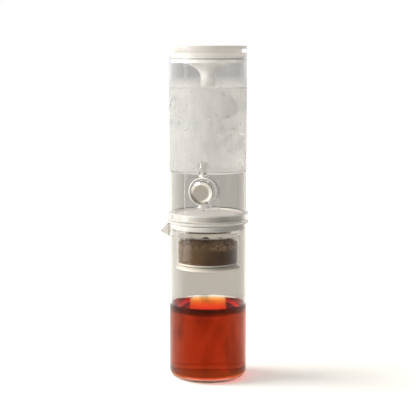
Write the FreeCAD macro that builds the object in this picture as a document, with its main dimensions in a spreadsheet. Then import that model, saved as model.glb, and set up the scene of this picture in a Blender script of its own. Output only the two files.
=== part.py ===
import FreeCAD, Part
import math
import os
import re
import Sketcher

# Driving dimensions in millimetres and counts
SIZES = {
    # Glass carafe that stands on the table
    "carafe_diameter": 91.0,
    "carafe_wall": 2.2,
    "carafe_base": 5.0,
    "carafe_height": 186.0,
    "carafe_heel": 10.0,
    "carafe_rim_round": 0.9,
    "spout_reach": 57.5,
    "spout_width": 22.0,
    "spout_root_depth": 20.0,
    "spout_lip_drop": 12.6,
    "spout_tip_width": 4.6,
    "spout_tip_depth": 2.2,
    "spout_wall": 1.3,
    "coffee_level": 88.5,
    # Brew chamber that hangs in the carafe's mouth
    "collar_flange": 4.0,
    "collar_socket_depth": 8.0,
    "collar_wall": 2.2,
    "collar_round": 1.1,
    "socket_fit": 0.3,
    "cup_shoulder": 3.5,
    "cup_wall": 2.0,
    "cup_drop": 51.8,
    "mouth_drop": 9.0,
    "mouth_cone": 7.0,
    "mouth_gap": 1.7,
    "mouth_wall": 2.6,
    "ledge_reach": 1.4,
    "rim_reach": 0.2,
    "seat_ring_width": 5.0,
    "seat_ring_groove": 1.0,
    "seat_ring_core": 1.3,
    "glass_gap": 0.3,
    "gasket_thickness": 0.8,
    # Mesh filter that closes the chamber's lower end
    "filter_flange": 2.2,
    "mesh_ledge": 0.8,
    "filter_upstand": 4.8,
    "filter_upstand_wall": 1.2,
    "filter_ring_section": 1.2,
    "spoke_width": 1.6,
    "spoke_height": 1.6,
    "spoke_count": 6,
    "spoke_hub": 6.0,
    "mesh_thickness": 0.5,
    "grounds_depth": 31.0,
    "grounds_crown": 2.2,
    # Spreader plate over the grounds
    "spreader_gap": 2.0,
    "spreader_lift": 4.0,
    "spreader_plate": 1.8,
    "spreader_lip": 1.4,
    "spreader_wall": 1.5,
    "drip_hole": 1.6,
    "drip_ring_inner": 14.0,
    "drip_ring_outer": 29.0,
    "drip_holes_inner": 8,
    "drip_holes_outer": 16,
    # Clear tank with its valve compartment
    "tank_diameter": 90.0,
    "tank_wall": 2.0,
    "tank_height": 188.2,
    "tank_floor": 3.0,
    "compartment_height": 54.7,
    "floor_round": 2.0,
    "window_width": 39.0,
    "window_height": 35.0,
    "window_sill": 19.6,
    "window_round": 5.0,
    "water_depth": 93.5,
    # Drip valve under the tank's floor
    "valve_drop": 20.5,
    "valve_setback": 7.0,
    "drum_diameter": 33.0,
    "drum_wall": 1.8,
    "drum_length": 14.0,
    "drum_back": 2.0,
    "hub_diameter": 18.0,
    "hub_recess": 1.0,
    "rotor_bore": 12.4,
    "rotor_gap": 0.24,
    "running_fit": 0.06,
    "metering_width": 2.2,
    "metering_offset": 0.7,
    "rotor_ring_section": 1.5,
    "rotor_ring_spacing": 5.6,
    "stem_diameter": 6.0,
    "stem_flat": 0.7,
    "screw_cover": 0.65,
    "gland_diameter": 14.8,
    "gland_thickness": 2.0,
    "neck_diameter": 11.0,
    "spigot_diameter": 8.0,
    "spigot_reach": 10.5,
    "channel_diameter": 4.4,
    "stub_inset": 0.2,
    "stub_drop": 19.0,
    "foot_diameter": 19.0,
    "foot_thickness": 1.2,
    "foot_flare": 3.2,
    "nozzle_diameter": 7.0,
    "nozzle_bore": 1.6,
    "nozzle_length": 7.0,
    "nozzle_proud": 1.0,
    "inlet_seal": 1.2,
    "nut_across": 15.0,
    "nut_thickness": 3.2,
    "strainer_diameter": 12.0,
    "strainer_height": 7.4,
    "strainer_wall": 0.8,
    "push_fit": 0.05,
    # Knob on the valve's stem
    "knob_diameter": 24.8,
    "knob_depth": 9.4,
    "knob_gap": 0.6,
    "knob_bevel": 1.8,
    "knob_skin": 1.0,
    "screw_head": 5.0,
    "screw_head_height": 1.8,
    "screw_shank": 2.4,
    "screw_length": 8.0,
    "knob_web": 1.5,
    # Lid with its trumpet funnel
    "lid_flange": 4.0,
    "lid_neck_height": 4.4,
    "lid_groove_depth": 5.7,
    "lid_neck_wall": 2.2,
    "lid_plug_depth": 7.5,
    "lid_fit": 0.4,
    "lid_ring_section": 1.5,
    "lid_groove_drop": 3.0,
    "bell_ledge": 1.1,
    "bell_depth": 17.5,
    "bell_tight_radius": 13.0,
    "throat_diameter": 16.8,
    "throat_length": 10.0,
    "funnel_wall": 1.8,
    # Cap that closes the funnel
    "cap_thickness": 3.6,
    "cap_round": 0.8,
    "cap_plug_depth": 6.4,
    "cap_plug_wall": 2.0,
    "cap_fit": 0.4,
    "cap_ring_section": 1.4,
    "cap_groove_drop": 2.5,
    # Clearance of a rubber ring from the bore that it closes
    "ring_gap": 0.06,
}

# Places worked out from the driving dimensions, as expressions on them
PLACES = {
    "tank_radius": "tank_diameter / 2",
    "tank_bore": "tank_radius - tank_wall",
    "carafe_radius": "carafe_diameter / 2",
    "carafe_bore": "carafe_radius - carafe_wall",
    "spout_root": "carafe_radius - carafe_wall * 0.86",
    "spout_lip": "carafe_height - spout_lip_drop",
    "ledge_level": "carafe_height + collar_flange",
    "collar_top": "ledge_level + collar_socket_depth",
    "socket_bore": "tank_radius + socket_fit",
    "collar_radius": "max(socket_bore; carafe_radius - rim_reach) + collar_wall",
    "mouth_radius": "carafe_bore - mouth_gap",
    "mouth_bore": "min(mouth_radius; tank_bore - ledge_reach) - mouth_wall",
    "cup_bore": "mouth_bore - cup_shoulder",
    "cup_radius": "cup_bore + cup_wall",
    "cup_foot": "carafe_height - cup_drop",
    "mouth_low": "carafe_height - mouth_drop",
    "cone_low": "mouth_low - mouth_cone",
    "ring_low": "carafe_height - (mouth_drop + seat_ring_width) / 2",
    "ring_seat": "mouth_radius - seat_ring_groove",
    "upstand_radius": "cup_bore - glass_gap",
    "upstand_bore": "upstand_radius - filter_upstand_wall",
    "filter_opening": "upstand_bore - mesh_ledge",
    "mesh_top": "cup_foot + mesh_thickness",
    "upstand_top": "cup_foot + filter_upstand",
    "filter_ring_level": "cup_foot + filter_upstand / 2",
    "filter_ring_radius": "cup_bore - ring_gap - filter_ring_section / 2",
    "filter_ring_floor": "filter_ring_radius - filter_ring_section / 2 - ring_gap",
    "spreader_top": "ledge_level + spreader_lift + spreader_plate",
    "spreader_radius": "tank_bore - spreader_gap",
    "tank_foot": "ledge_level + gasket_thickness",
    "floor_under": "tank_foot + compartment_height",
    "floor_top": "floor_under + tank_floor",
    "tank_rim": "tank_foot + tank_height",
    "valve_level": "floor_under - valve_drop",
    "valve_front": "tank_bore - valve_setback",
    "valve_back": "valve_front - drum_length",
    "neck_setback": "drum_length / 2",
    "neck_place": "valve_back + neck_setback",
    "neck_shoulder": "valve_drop - inlet_seal",
    "spigot_top": "valve_drop + spigot_reach",
    "stub_radius": "drum_length / 2 - stub_inset",
    "hub_length": "drum_length - hub_recess",
    "rotor_seat": "hub_length - gland_thickness",
    "rotor_radius": "rotor_bore / 2 - running_fit",
    "rotor_ring_radius": "rotor_bore / 2 - ring_gap / 3 - rotor_ring_section / 2",
    "rotor_ring_floor": "rotor_ring_radius - rotor_ring_section / 2 - ring_gap / 3",
    "rotor_front": "rotor_seat - running_fit",
    "knob_back": "drum_length + knob_gap",
    "knob_face": "knob_back + knob_depth",
    "core_radius": "knob_diameter / 2 - knob_skin - push_fit",
    "core_face": "knob_face - knob_skin - push_fit",
    "core_bevel": "knob_bevel - knob_skin * 0.6",
    "screw_seat": "core_face - screw_cover - screw_head_height",
    "stem_reach": "screw_seat - knob_web",
    "nut_top": "floor_top + nut_thickness",
    "strainer_top": "nut_top + strainer_height",
    "lid_seat": "tank_rim",
    "lid_flange_top": "lid_seat + lid_flange",
    "lid_neck_top": "lid_flange_top + lid_neck_height",
    "plug_low": "lid_seat - lid_plug_depth",
    "plug_radius": "tank_bore - lid_fit",
    "lid_ring_radius": "tank_bore - ring_gap - lid_ring_section / 2",
    "lid_ring_level": "lid_seat - lid_groove_drop",
    "lid_ring_floor": "lid_ring_radius - lid_ring_section / 2 - ring_gap",
    "lid_neck_radius": "tank_radius - lid_groove_depth",
    "lid_bore": "lid_neck_radius - lid_neck_wall",
    "bell_radius": "lid_bore - bell_ledge",
    "throat_radius": "throat_diameter / 2",
    "throat_top": "plug_low - bell_depth",
    "throat_low": "throat_top - throat_length",
    "bell_run": "bell_radius - throat_radius - bell_tight_radius",
    "bell_rise": "bell_depth - bell_tight_radius",
    "bell_wide_radius": "(bell_run ^ 2 + bell_depth ^ 2 - bell_tight_radius ^ 2) / (2 * bell_rise)",
    "bell_centre": "plug_low - bell_wide_radius",
    "bell_reach": "bell_wide_radius - bell_tight_radius",
    "cap_plug_radius": "lid_bore - cap_fit",
    "cap_ring_radius": "lid_bore - ring_gap - cap_ring_section / 2",
    "cap_ring_level": "lid_neck_top - cap_groove_drop",
    "cap_ring_floor": "cap_ring_radius - cap_ring_section / 2 - ring_gap",
}

doc = FreeCAD.newDocument("ColdDripTower")
sheet = doc.addObject("Spreadsheet::Sheet", "Sizes")
for row, (size_name, size_value) in enumerate(SIZES.items(), start=1):
    sheet.set(f"A{row}", size_name)
    sheet.set(f"B{row}", str(size_value))
    sheet.setAlias(f"B{row}", size_name)
doc.recompute()

NODES = []


def bound(text):
    """Give an expression in which each size is a cell of the sheet and each place its own expression."""
    def reference(word):
        name = word.group()
        if name in SIZES:
            return "Sizes." + name
        if name in PLACES:
            return "(" + bound(PLACES[name]) + ")"
        return name
    return re.sub(r"[a-z_]{2,}", reference, text)


def value(text):
    """Work an expression out as a number."""
    return float(sheet.evalExpression(bound(text).replace("Sizes.", "")))


def keep(piece, name):
    """Count a finished object as a sub-part under its own label."""
    piece.Label = name
    NODES.append(piece)
    return piece


def new_body(name):
    """Start the body of one sub-part."""
    return keep(doc.addObject("PartDesign::Body", name), name)


def own_plane(body, role):
    """Find one of a body's own origin planes or axes by its role."""
    return [item for item in body.Origin.OriginFeatures if item.Role == role][0]


def new_sketch(body, name, role, shift):
    """Attach an empty sketch to a body's own plane, moved along the plane's normal."""
    sketch = body.newObject("Sketcher::SketchObject", name)
    sketch.AttachmentSupport = [(own_plane(body, role), "")]
    sketch.MapMode = "FlatFace"
    sketch.setExpression("AttachmentOffset.Base.z", bound(shift))
    return sketch


def hold(sketch, kind, edge, end, text):
    """Fix one coordinate of a point of a sketch to an expression, or to the sketch's axis for zero."""
    if text == "0":
        axis = -2 if kind == "DistanceX" else -1
        sketch.addConstraint(Sketcher.Constraint("PointOnObject", edge, end, axis))
        return
    index = sketch.addConstraint(Sketcher.Constraint(kind, -1, 1, edge, end, value(text)))
    sketch.setExpression(f"Constraints[{index}]", bound(text))


def outline(body, name, role, points, shift="0"):
    """Draw a closed outline. A point is (across, up), or (across, up, radius) where an arc leads to
    the next point, turning left for a plain radius and right for one with a minus sign before it."""
    sketch = new_sketch(body, name, role, shift)
    spots = [FreeCAD.Vector(value(point[0]), value(point[1]), 0) for point in points]
    ends = []
    for index, point in enumerate(points):
        start = spots[index]
        stop = spots[(index + 1) % len(spots)]
        if len(point) == 2:
            sketch.addGeometry(Part.LineSegment(start, stop))
            ends.append((1, 2))
            continue
        turns_right = point[2].startswith("-")
        radius_text = point[2].lstrip("-")
        radius = value(radius_text)
        chord = stop - start
        rise = math.sqrt(max(radius ** 2 - chord.Length ** 2 / 4, 0))
        side = FreeCAD.Vector(-chord.y, chord.x, 0).normalize() * (-rise if turns_right else rise)
        centre = start + chord / 2 + side
        first, last = (stop, start) if turns_right else (start, stop)
        angles = [math.atan2(spot.y - centre.y, spot.x - centre.x) for spot in (first, last)]
        if angles[1] < angles[0]:
            angles[1] += 2 * math.pi
        circle = Part.Circle(centre, FreeCAD.Vector(0, 0, 1), radius)
        edge = sketch.addGeometry(Part.ArcOfCircle(circle, angles[0], angles[1]))
        ends.append((2, 1) if turns_right else (1, 2))
        constraint = sketch.addConstraint(Sketcher.Constraint("Radius", edge, radius))
        sketch.setExpression(f"Constraints[{constraint}]", bound(radius_text))
    for index, point in enumerate(points):
        after = (index + 1) % len(points)
        sketch.addConstraint(Sketcher.Constraint("Coincident", index, ends[index][1], after, ends[after][0]))
        hold(sketch, "DistanceX", index, ends[index][0], point[0])
        hold(sketch, "DistanceY", index, ends[index][0], point[1])
    return sketch


def ring_sketch(body, name, role, across, up, radius, shift="0"):
    """Draw one circle."""
    sketch = new_sketch(body, name, role, shift)
    centre = FreeCAD.Vector(value(across), value(up), 0)
    edge = sketch.addGeometry(Part.Circle(centre, FreeCAD.Vector(0, 0, 1), value(radius)))
    hold(sketch, "DistanceX", edge, 3, across)
    hold(sketch, "DistanceY", edge, 3, up)
    constraint = sketch.addConstraint(Sketcher.Constraint("Radius", edge, value(radius)))
    sketch.setExpression(f"Constraints[{constraint}]", bound(radius))
    return sketch


def turned(body, name, points, role="XZ_Plane", shift="0"):
    """Turn an outline into a solid of revolution about its upright axis."""
    sketch = outline(body, name + "_outline", role, points, shift)
    feature = body.newObject("PartDesign::Revolution", name)
    feature.Profile = sketch
    feature.ReferenceAxis = (sketch, ["V_Axis"])
    feature.Angle = 360
    return feature


def turned_out(body, name, points, role="XZ_Plane", shift="0"):
    """Turn an outline into a cut about its upright axis."""
    sketch = outline(body, name + "_outline", role, points, shift)
    feature = body.newObject("PartDesign::Groove", name)
    feature.Profile = sketch
    feature.ReferenceAxis = (sketch, ["V_Axis"])
    feature.Angle = 360
    return feature


def padded(body, name, sketch, length, reversed_way=False):
    """Add material over a sketch."""
    feature = body.newObject("PartDesign::Pad", name)
    feature.Profile = sketch
    feature.setExpression("Length", bound(length))
    feature.Reversed = reversed_way
    return feature


def pocketed(body, name, sketch, length, reversed_way=False):
    """Cut material away under a sketch."""
    feature = body.newObject("PartDesign::Pocket", name)
    feature.Profile = sketch
    feature.setExpression("Length", bound(length))
    feature.Reversed = reversed_way
    return feature


def patterned(body, name, original, count):
    """Repeat a feature evenly about the body's upright axis."""
    feature = body.newObject("PartDesign::PolarPattern", name)
    feature.Originals = [original]
    feature.Axis = (own_plane(body, "Z_Axis"), [""])
    feature.Angle = 360
    feature.setExpression("Occurrences", bound(count))
    body.Tip = feature
    return feature


def lofted(body, kind, name, first, second):
    """Join two outlines by an added or a cut loft."""
    feature = body.newObject(kind, name)
    feature.Profile = first
    feature.Sections = [second]
    feature.Ruled = True
    return feature


def rubber_ring(name, radius, section, level):
    """Make a round rubber ring that lies level."""
    ring = doc.addObject("Part::Torus", name)
    ring.setExpression("Radius1", bound(radius))
    ring.setExpression("Radius2", bound(section) + " / 2")
    ring.setExpression("Placement.Base.z", bound(level))
    return keep(ring, name)


def face_forward(piece, along="0"):
    """Lay a piece of the valve on the valve's axis, which points out of the tank's front."""
    piece.Placement = FreeCAD.Placement(FreeCAD.Vector(0, 0, 0), FreeCAD.Rotation(FreeCAD.Vector(1, 0, 0), 90))
    piece.setExpression("Placement.Base.y", bound(f"-(valve_back + {along})"))
    piece.setExpression("Placement.Base.z", bound("valve_level"))
    return piece


def spout_section(body, name, reach, half_width, top, half_floor, bottom):
    """Draw the spout's trough as it stands across the pouring direction."""
    points = [
        (half_width, top),
        (f"-({half_width})", top),
        (f"-({half_floor})", bottom, f"({half_floor}) * 1.25"),
        (half_floor, bottom),
    ]
    return outline(body, name, "YZ_Plane", points, f"-({reach})")


def make_carafe():
    """Straight glass beaker with a thick base, a rounded heel and a beak that dips at its tip."""
    body = new_body("carafe_glass")
    bore_heel = "(carafe_heel - carafe_wall)"
    turned(body, "beaker", [
        ("0", "0"),
        ("carafe_radius - carafe_heel", "0", "carafe_heel"),
        ("carafe_radius", "carafe_heel"),
        ("carafe_radius", "carafe_height - carafe_rim_round", "carafe_rim_round"),
        ("carafe_radius - carafe_rim_round", "carafe_height"),
        ("carafe_bore", "carafe_height"),
        ("carafe_bore", f"carafe_base + {bore_heel}", f"-{bore_heel}"),
        (f"carafe_bore - {bore_heel}", "carafe_base"),
        ("0", "carafe_base"),
    ])
    root = spout_section(body, "beak_root", "spout_root", "spout_width / 2", "carafe_height",
                         "spout_width / 4", "carafe_height - spout_root_depth")
    tip = spout_section(body, "beak_tip", "spout_reach", "spout_tip_width / 2", "spout_lip",
                        "spout_tip_width / 4", "spout_lip - spout_tip_depth")
    lofted(body, "PartDesign::AdditiveLoft", "beak", root, tip)
    inner_root = spout_section(body, "trough_root", "carafe_bore - carafe_wall", "spout_width / 2 - spout_wall",
                               "carafe_height + spout_wall * 3", "spout_width / 4 - spout_wall / 2",
                               "carafe_height - spout_root_depth + spout_wall * 1.5")
    inner_tip = spout_section(body, "trough_tip", "spout_reach - spout_wall", "spout_tip_width / 2 - spout_wall / 2",
                              "spout_lip + spout_wall * 3", "spout_tip_width / 4 - spout_wall / 4",
                              "spout_lip - spout_tip_depth / 4")
    lofted(body, "PartDesign::SubtractiveLoft", "trough", inner_root, inner_tip)
    return body


def make_brewed_coffee():
    """The coffee that has dripped into the carafe."""
    body = new_body("brewed_coffee")
    side = "(carafe_bore - glass_gap / 2)"
    heel = "(carafe_heel - carafe_wall)"
    turned(body, "coffee", [
        ("0", "carafe_base"),
        (f"{side} - {heel}", "carafe_base", heel),
        (side, f"carafe_base + {heel}"),
        (side, "coffee_level"),
        ("0", "coffee_level"),
    ])
    return body


def make_chamber_cup():
    """Clear brew cup that widens to a collar: the collar rests on the carafe and holds the tank."""
    body = new_body("chamber_cup")
    turned(body, "cup", [
        ("cup_bore", "cup_foot"),
        ("cup_radius", "cup_foot"),
        ("cup_radius", "cone_low"),
        ("mouth_radius", "mouth_low"),
        ("mouth_radius", "ring_low"),
        ("ring_seat", "ring_low"),
        ("ring_seat", "ring_low + seat_ring_width"),
        ("mouth_radius", "ring_low + seat_ring_width"),
        ("mouth_radius", "carafe_height"),
        ("collar_radius - collar_round", "carafe_height", "collar_round"),
        ("collar_radius", "carafe_height + collar_round"),
        ("collar_radius", "collar_top - collar_round", "collar_round"),
        ("collar_radius - collar_round", "collar_top"),
        ("socket_bore", "collar_top"),
        ("socket_bore", "ledge_level"),
        ("mouth_bore", "ledge_level"),
        ("mouth_bore", "mouth_low + mouth_cone / 5"),
        ("cup_bore", "cone_low + mouth_cone / 5"),
    ])
    return body


def make_chamber_seat_ring():
    """Soft ring with three fins that centres the chamber in the carafe's mouth."""
    body = new_body("chamber_seat_ring")
    fin = "(seat_ring_width / 5)"
    crest = "(carafe_bore - glass_gap)"
    core = "(ring_seat + ring_gap + seat_ring_core)"
    low = "(ring_low + ring_gap)"
    reach = "(seat_ring_width - 2 * ring_gap)"
    points = [("ring_seat + ring_gap", low)]
    for fin_number in range(3):
        start = f"({low} + {reach} * {fin_number} / 3)"
        points.append((core, start))
        points.append((crest, f"{start} + {fin} * 0.5"))
        points.append((crest, f"{start} + {fin} * 0.9"))
        points.append((core, f"{start} + {fin} * 1.5"))
    points.append((core, f"{low} + {reach}"))
    points.append(("ring_seat + ring_gap", f"{low} + {reach}"))
    turned(body, "finned_ring", points)
    return body


def make_collar_gasket():
    """Flat gasket on the collar's ledge, under the tank's edge."""
    body = new_body("collar_gasket")
    turned(body, "gasket", [
        ("tank_bore", "ledge_level"),
        ("tank_radius", "ledge_level"),
        ("tank_radius", "tank_foot"),
        ("tank_bore", "tank_foot"),
    ])
    return body


def make_filter_frame():
    """White ring with a grooved upstand that pushes up into the cup, and spokes under the mesh."""
    body = new_body("filter_frame")
    groove_half = "(filter_ring_section / 2 + ring_gap)"
    turned(body, "frame_ring", [
        ("filter_opening", "cup_foot - filter_flange"),
        ("cup_radius", "cup_foot - filter_flange"),
        ("cup_radius", "cup_foot"),
        ("upstand_radius", "cup_foot"),
        ("upstand_radius", f"filter_ring_level - {groove_half}"),
        ("filter_ring_floor", f"filter_ring_level - {groove_half}"),
        ("filter_ring_floor", f"filter_ring_level + {groove_half}"),
        ("upstand_radius", f"filter_ring_level + {groove_half}"),
        ("upstand_radius", "upstand_top"),
        ("upstand_bore", "upstand_top"),
        ("upstand_bore", "cup_foot"),
        ("filter_opening", "cup_foot"),
    ])
    spoke_low = "cup_foot - spoke_height"
    hub = ring_sketch(body, "hub_circle", "XY_Plane", "0", "0", "spoke_hub / 2", spoke_low)
    padded(body, "spoke_centre", hub, "spoke_height")
    spoke_end = "filter_opening + mesh_ledge / 2"
    bar = outline(body, "spoke_outline", "XY_Plane", [
        ("spoke_hub / 4", "-spoke_width / 2"),
        (spoke_end, "-spoke_width / 2"),
        (spoke_end, "spoke_width / 2"),
        ("spoke_hub / 4", "spoke_width / 2"),
    ], spoke_low)
    spoke = padded(body, "spoke", bar, "spoke_height")
    patterned(body, "spokes", spoke, "spoke_count")
    return body


def make_filter_mesh():
    """Fine mesh disc inside the frame's upstand, on its ledge and spokes."""
    body = new_body("filter_mesh")
    disc = ring_sketch(body, "disc_circle", "XY_Plane", "0", "0", "upstand_bore - push_fit", "cup_foot")
    padded(body, "disc", disc, "mesh_thickness")
    return body


def make_coffee_grounds():
    """Bed of ground coffee on the mesh, slightly heaped."""
    body = new_body("coffee_grounds")
    side = "(cup_bore - glass_gap)"
    step = "(upstand_top + glass_gap)"
    level = "(mesh_top + grounds_depth)"
    turned(body, "bed", [
        ("0", "mesh_top"),
        ("upstand_bore - glass_gap", "mesh_top"),
        ("upstand_bore - glass_gap", step),
        (side, step),
        (side, level, f"({side} ^ 2 + grounds_crown ^ 2) / (2 * grounds_crown)"),
        ("0", f"{level} + grounds_crown"),
    ])
    return body


def make_spreader_plate():
    """Pale tray on the collar's ledge whose holes spread the drips over the grounds."""
    body = new_body("spreader_plate")
    under = "ledge_level + spreader_lift"
    turned(body, "tray", [
        ("0", under),
        ("spreader_radius - spreader_wall", under),
        ("spreader_radius - spreader_wall", "ledge_level"),
        ("spreader_radius", "ledge_level"),
        ("spreader_radius", "spreader_top + spreader_lip"),
        ("spreader_radius - spreader_wall", "spreader_top + spreader_lip"),
        ("spreader_radius - spreader_wall - spreader_lip", "spreader_top"),
        ("0", "spreader_top"),
    ])
    centre = ring_sketch(body, "centre_circle", "XY_Plane", "0", "0", "drip_hole / 2", under)
    pocketed(body, "centre_hole", centre, "spreader_plate", True)
    rings = [
        ("inner", "drip_ring_inner", "drip_holes_inner"),
        ("outer", "drip_ring_outer", "drip_holes_outer"),
    ]
    for ring_name, ring_radius, hole_count in rings:
        circle = ring_sketch(body, ring_name + "_circle", "XY_Plane", ring_radius, "0", "drip_hole / 2", under)
        hole = pocketed(body, ring_name + "_hole", circle, "spreader_plate", True)
        patterned(body, ring_name + "_holes", hole, hole_count)
    return body


def make_tank_shell():
    """Clear tube with a floor part way up: water above, and the valve below behind a finger window."""
    body = new_body("tank_shell")
    turned(body, "tube", [
        ("tank_bore", "tank_foot"),
        ("tank_radius", "tank_foot"),
        ("tank_radius", "tank_rim"),
        ("tank_bore", "tank_rim"),
        ("tank_bore", "floor_top + floor_round", "-floor_round"),
        ("tank_bore - floor_round", "floor_top"),
        ("0", "floor_top"),
        ("0", "floor_under"),
        ("tank_bore", "floor_under"),
    ])
    inlet = ring_sketch(body, "inlet_circle", "XY_Plane", "0", "-neck_place",
                        "spigot_diameter / 2 + push_fit", "floor_under")
    pocketed(body, "inlet_hole", inlet, "tank_floor", True)
    half = "(window_width / 2)"
    sill = "(valve_level - window_sill)"
    head = f"({sill} + window_height)"
    window = outline(body, "window_outline", "XZ_Plane", [
        (f"window_round - {half}", sill),
        (f"{half} - window_round", sill, "window_round"),
        (half, f"{sill} + window_round"),
        (half, f"{head} - window_round", "window_round"),
        (f"{half} - window_round", head),
        (f"window_round - {half}", head, "window_round"),
        (f"-{half}", f"{head} - window_round"),
        (f"-{half}", f"{sill} + window_round", "window_round"),
    ], "tank_radius / 2")
    pocketed(body, "window", window, "tank_radius", True)
    return body


def make_ice_water():
    """The ice water, hollow round the inlet's nut and strainer, and round a funnel that dips into it."""
    body = new_body("ice_water")
    side = "(tank_bore - glass_gap / 2)"
    turned(body, "water", [
        ("0", "floor_top"),
        (f"{side} - floor_round", "floor_top", "floor_round"),
        (side, "floor_top + floor_round"),
        (side, "floor_top + water_depth"),
        ("0", "floor_top + water_depth"),
    ])
    well = ring_sketch(body, "well_circle", "XY_Plane", "0", "-neck_place",
                       "nut_across * 0.58 + glass_gap", "floor_top")
    pocketed(body, "inlet_well", well, "nut_thickness + strainer_height + glass_gap", True)
    turned_out(body, "funnel_hollow", [
        ("0", "throat_low - glass_gap"),
        ("throat_radius + glass_gap", "throat_low - glass_gap"),
        ("throat_radius + glass_gap", "throat_top"),
        ("bell_radius + glass_gap", "plug_low"),
        ("0", "plug_low"),
    ])
    return body


def make_inlet_seal():
    """Flat washer between the valve's shoulder and the tank's floor."""
    body = new_body("inlet_seal")
    turned(body, "washer", [
        ("spigot_diameter / 2 + push_fit", "floor_under - inlet_seal"),
        ("neck_diameter / 2", "floor_under - inlet_seal"),
        ("neck_diameter / 2", "floor_under"),
        ("spigot_diameter / 2 + push_fit", "floor_under"),
    ])
    body.setExpression("Placement.Base.y", bound("-neck_place"))
    return body


def make_inlet_nut():
    """Hexagonal nut on the floor that pulls the valve's spigot up."""
    body = new_body("inlet_nut")
    corners = []
    for corner in range(6):
        angle = 60 * corner + 30
        reach = "nut_across / 2 / cos(30 deg)"
        corners.append((f"{reach} * cos({angle} deg)", f"{reach} * sin({angle} deg)"))
    corners[1] = ("0", corners[1][1])
    corners[4] = ("0", corners[4][1])
    hexagon = outline(body, "hexagon", "XY_Plane", corners, "floor_top")
    padded(body, "nut", hexagon, "nut_thickness")
    thread = ring_sketch(body, "thread_circle", "XY_Plane", "0", "0", "spigot_diameter / 2 + push_fit", "floor_top")
    pocketed(body, "thread_bore", thread, "nut_thickness", True)
    body.setExpression("Placement.Base.y", bound("-neck_place"))
    return body


def make_inlet_strainer():
    """Slotted cap over the spigot that keeps ice chips out of the valve."""
    body = new_body("inlet_strainer")
    turned(body, "thimble", [
        ("strainer_diameter / 2 - strainer_wall", "nut_top"),
        ("strainer_diameter / 2", "nut_top"),
        ("strainer_diameter / 2", "strainer_top - strainer_wall", "strainer_wall"),
        ("strainer_diameter / 2 - strainer_wall", "strainer_top"),
        ("0", "strainer_top"),
        ("0", "strainer_top - strainer_wall"),
        ("strainer_diameter / 2 - strainer_wall", "strainer_top - strainer_wall"),
    ])
    slot = outline(body, "slot_outline", "XZ_Plane", [
        ("-strainer_wall / 2", "nut_top + strainer_height * 0.3"),
        ("strainer_wall / 2", "nut_top + strainer_height * 0.3"),
        ("strainer_wall / 2", "nut_top + strainer_height * 0.75"),
        ("-strainer_wall / 2", "nut_top + strainer_height * 0.75"),
    ])
    cut = pocketed(body, "slot", slot, "strainer_diameter")
    patterned(body, "slots", cut, "spoke_count * 2")
    body.setExpression("Placement.Base.y", bound("-neck_place"))
    return body


def make_valve_body():
    """Clear drum with a hub inside it, a spigot up through the floor and a flared outlet below."""
    body = new_body("valve_body")
    turned(body, "drum", [
        ("0", "0"),
        ("drum_diameter / 2", "0"),
        ("drum_diameter / 2", "drum_length - drum_wall / 2", "drum_wall / 2 + 0.001"),
        ("drum_diameter / 2 - drum_wall", "drum_length - drum_wall / 2"),
        ("drum_diameter / 2 - drum_wall", "drum_back"),
        ("hub_diameter / 2", "drum_back"),
        ("hub_diameter / 2", "hub_length"),
        ("0", "hub_length"),
    ])
    stub_low = "-stub_drop"
    turned(body, "water_way", [
        ("0", stub_low),
        ("foot_diameter / 2 - foot_thickness / 2", stub_low, "foot_thickness / 2 + 0.001"),
        ("foot_diameter / 2 - foot_thickness / 2", "foot_thickness - stub_drop"),
        ("stub_radius", "foot_thickness + foot_flare - stub_drop"),
        ("stub_radius", "-hub_diameter / 4"),
        ("neck_diameter / 2", "hub_diameter / 4"),
        ("neck_diameter / 2", "neck_shoulder"),
        ("spigot_diameter / 2", "neck_shoulder"),
        ("spigot_diameter / 2", "spigot_top"),
        ("0", "spigot_top"),
    ], "XY_Plane", "neck_setback")
    turned_out(body, "rotor_bore", [
        ("0", "drum_back"),
        ("rotor_bore / 2", "drum_back"),
        ("rotor_bore / 2", "rotor_seat"),
        ("gland_diameter / 2 + push_fit", "rotor_seat"),
        ("gland_diameter / 2 + push_fit", "drum_length + drum_wall"),
        ("0", "drum_length + drum_wall"),
    ])
    turned_out(body, "channel", [
        ("0", "-stub_drop - foot_thickness"),
        ("nozzle_diameter / 2 + push_fit", "-stub_drop - foot_thickness"),
        ("nozzle_diameter / 2 + push_fit", "nozzle_length - nozzle_proud - stub_drop"),
        ("channel_diameter / 2", "nozzle_length - nozzle_proud - stub_drop"),
        ("channel_diameter / 2", "spigot_top + foot_thickness"),
        ("0", "spigot_top + foot_thickness"),
    ], "XY_Plane", "neck_setback")
    return face_forward(body)


def make_drip_nozzle():
    """Short nozzle pushed up into the outlet, with a fine bore that sets the size of a drop."""
    body = new_body("drip_nozzle")
    low = "(-stub_drop - nozzle_proud)"
    turned(body, "nozzle", [
        ("nozzle_bore / 2", low),
        ("nozzle_diameter / 2 - nozzle_proud", low),
        ("nozzle_diameter / 2", "-stub_drop + nozzle_proud / 2"),
        ("nozzle_diameter / 2", "nozzle_length - nozzle_proud - stub_drop"),
        ("nozzle_bore / 2", "nozzle_length - nozzle_proud - stub_drop"),
    ], "XY_Plane", "neck_setback")
    return face_forward(body)


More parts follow.
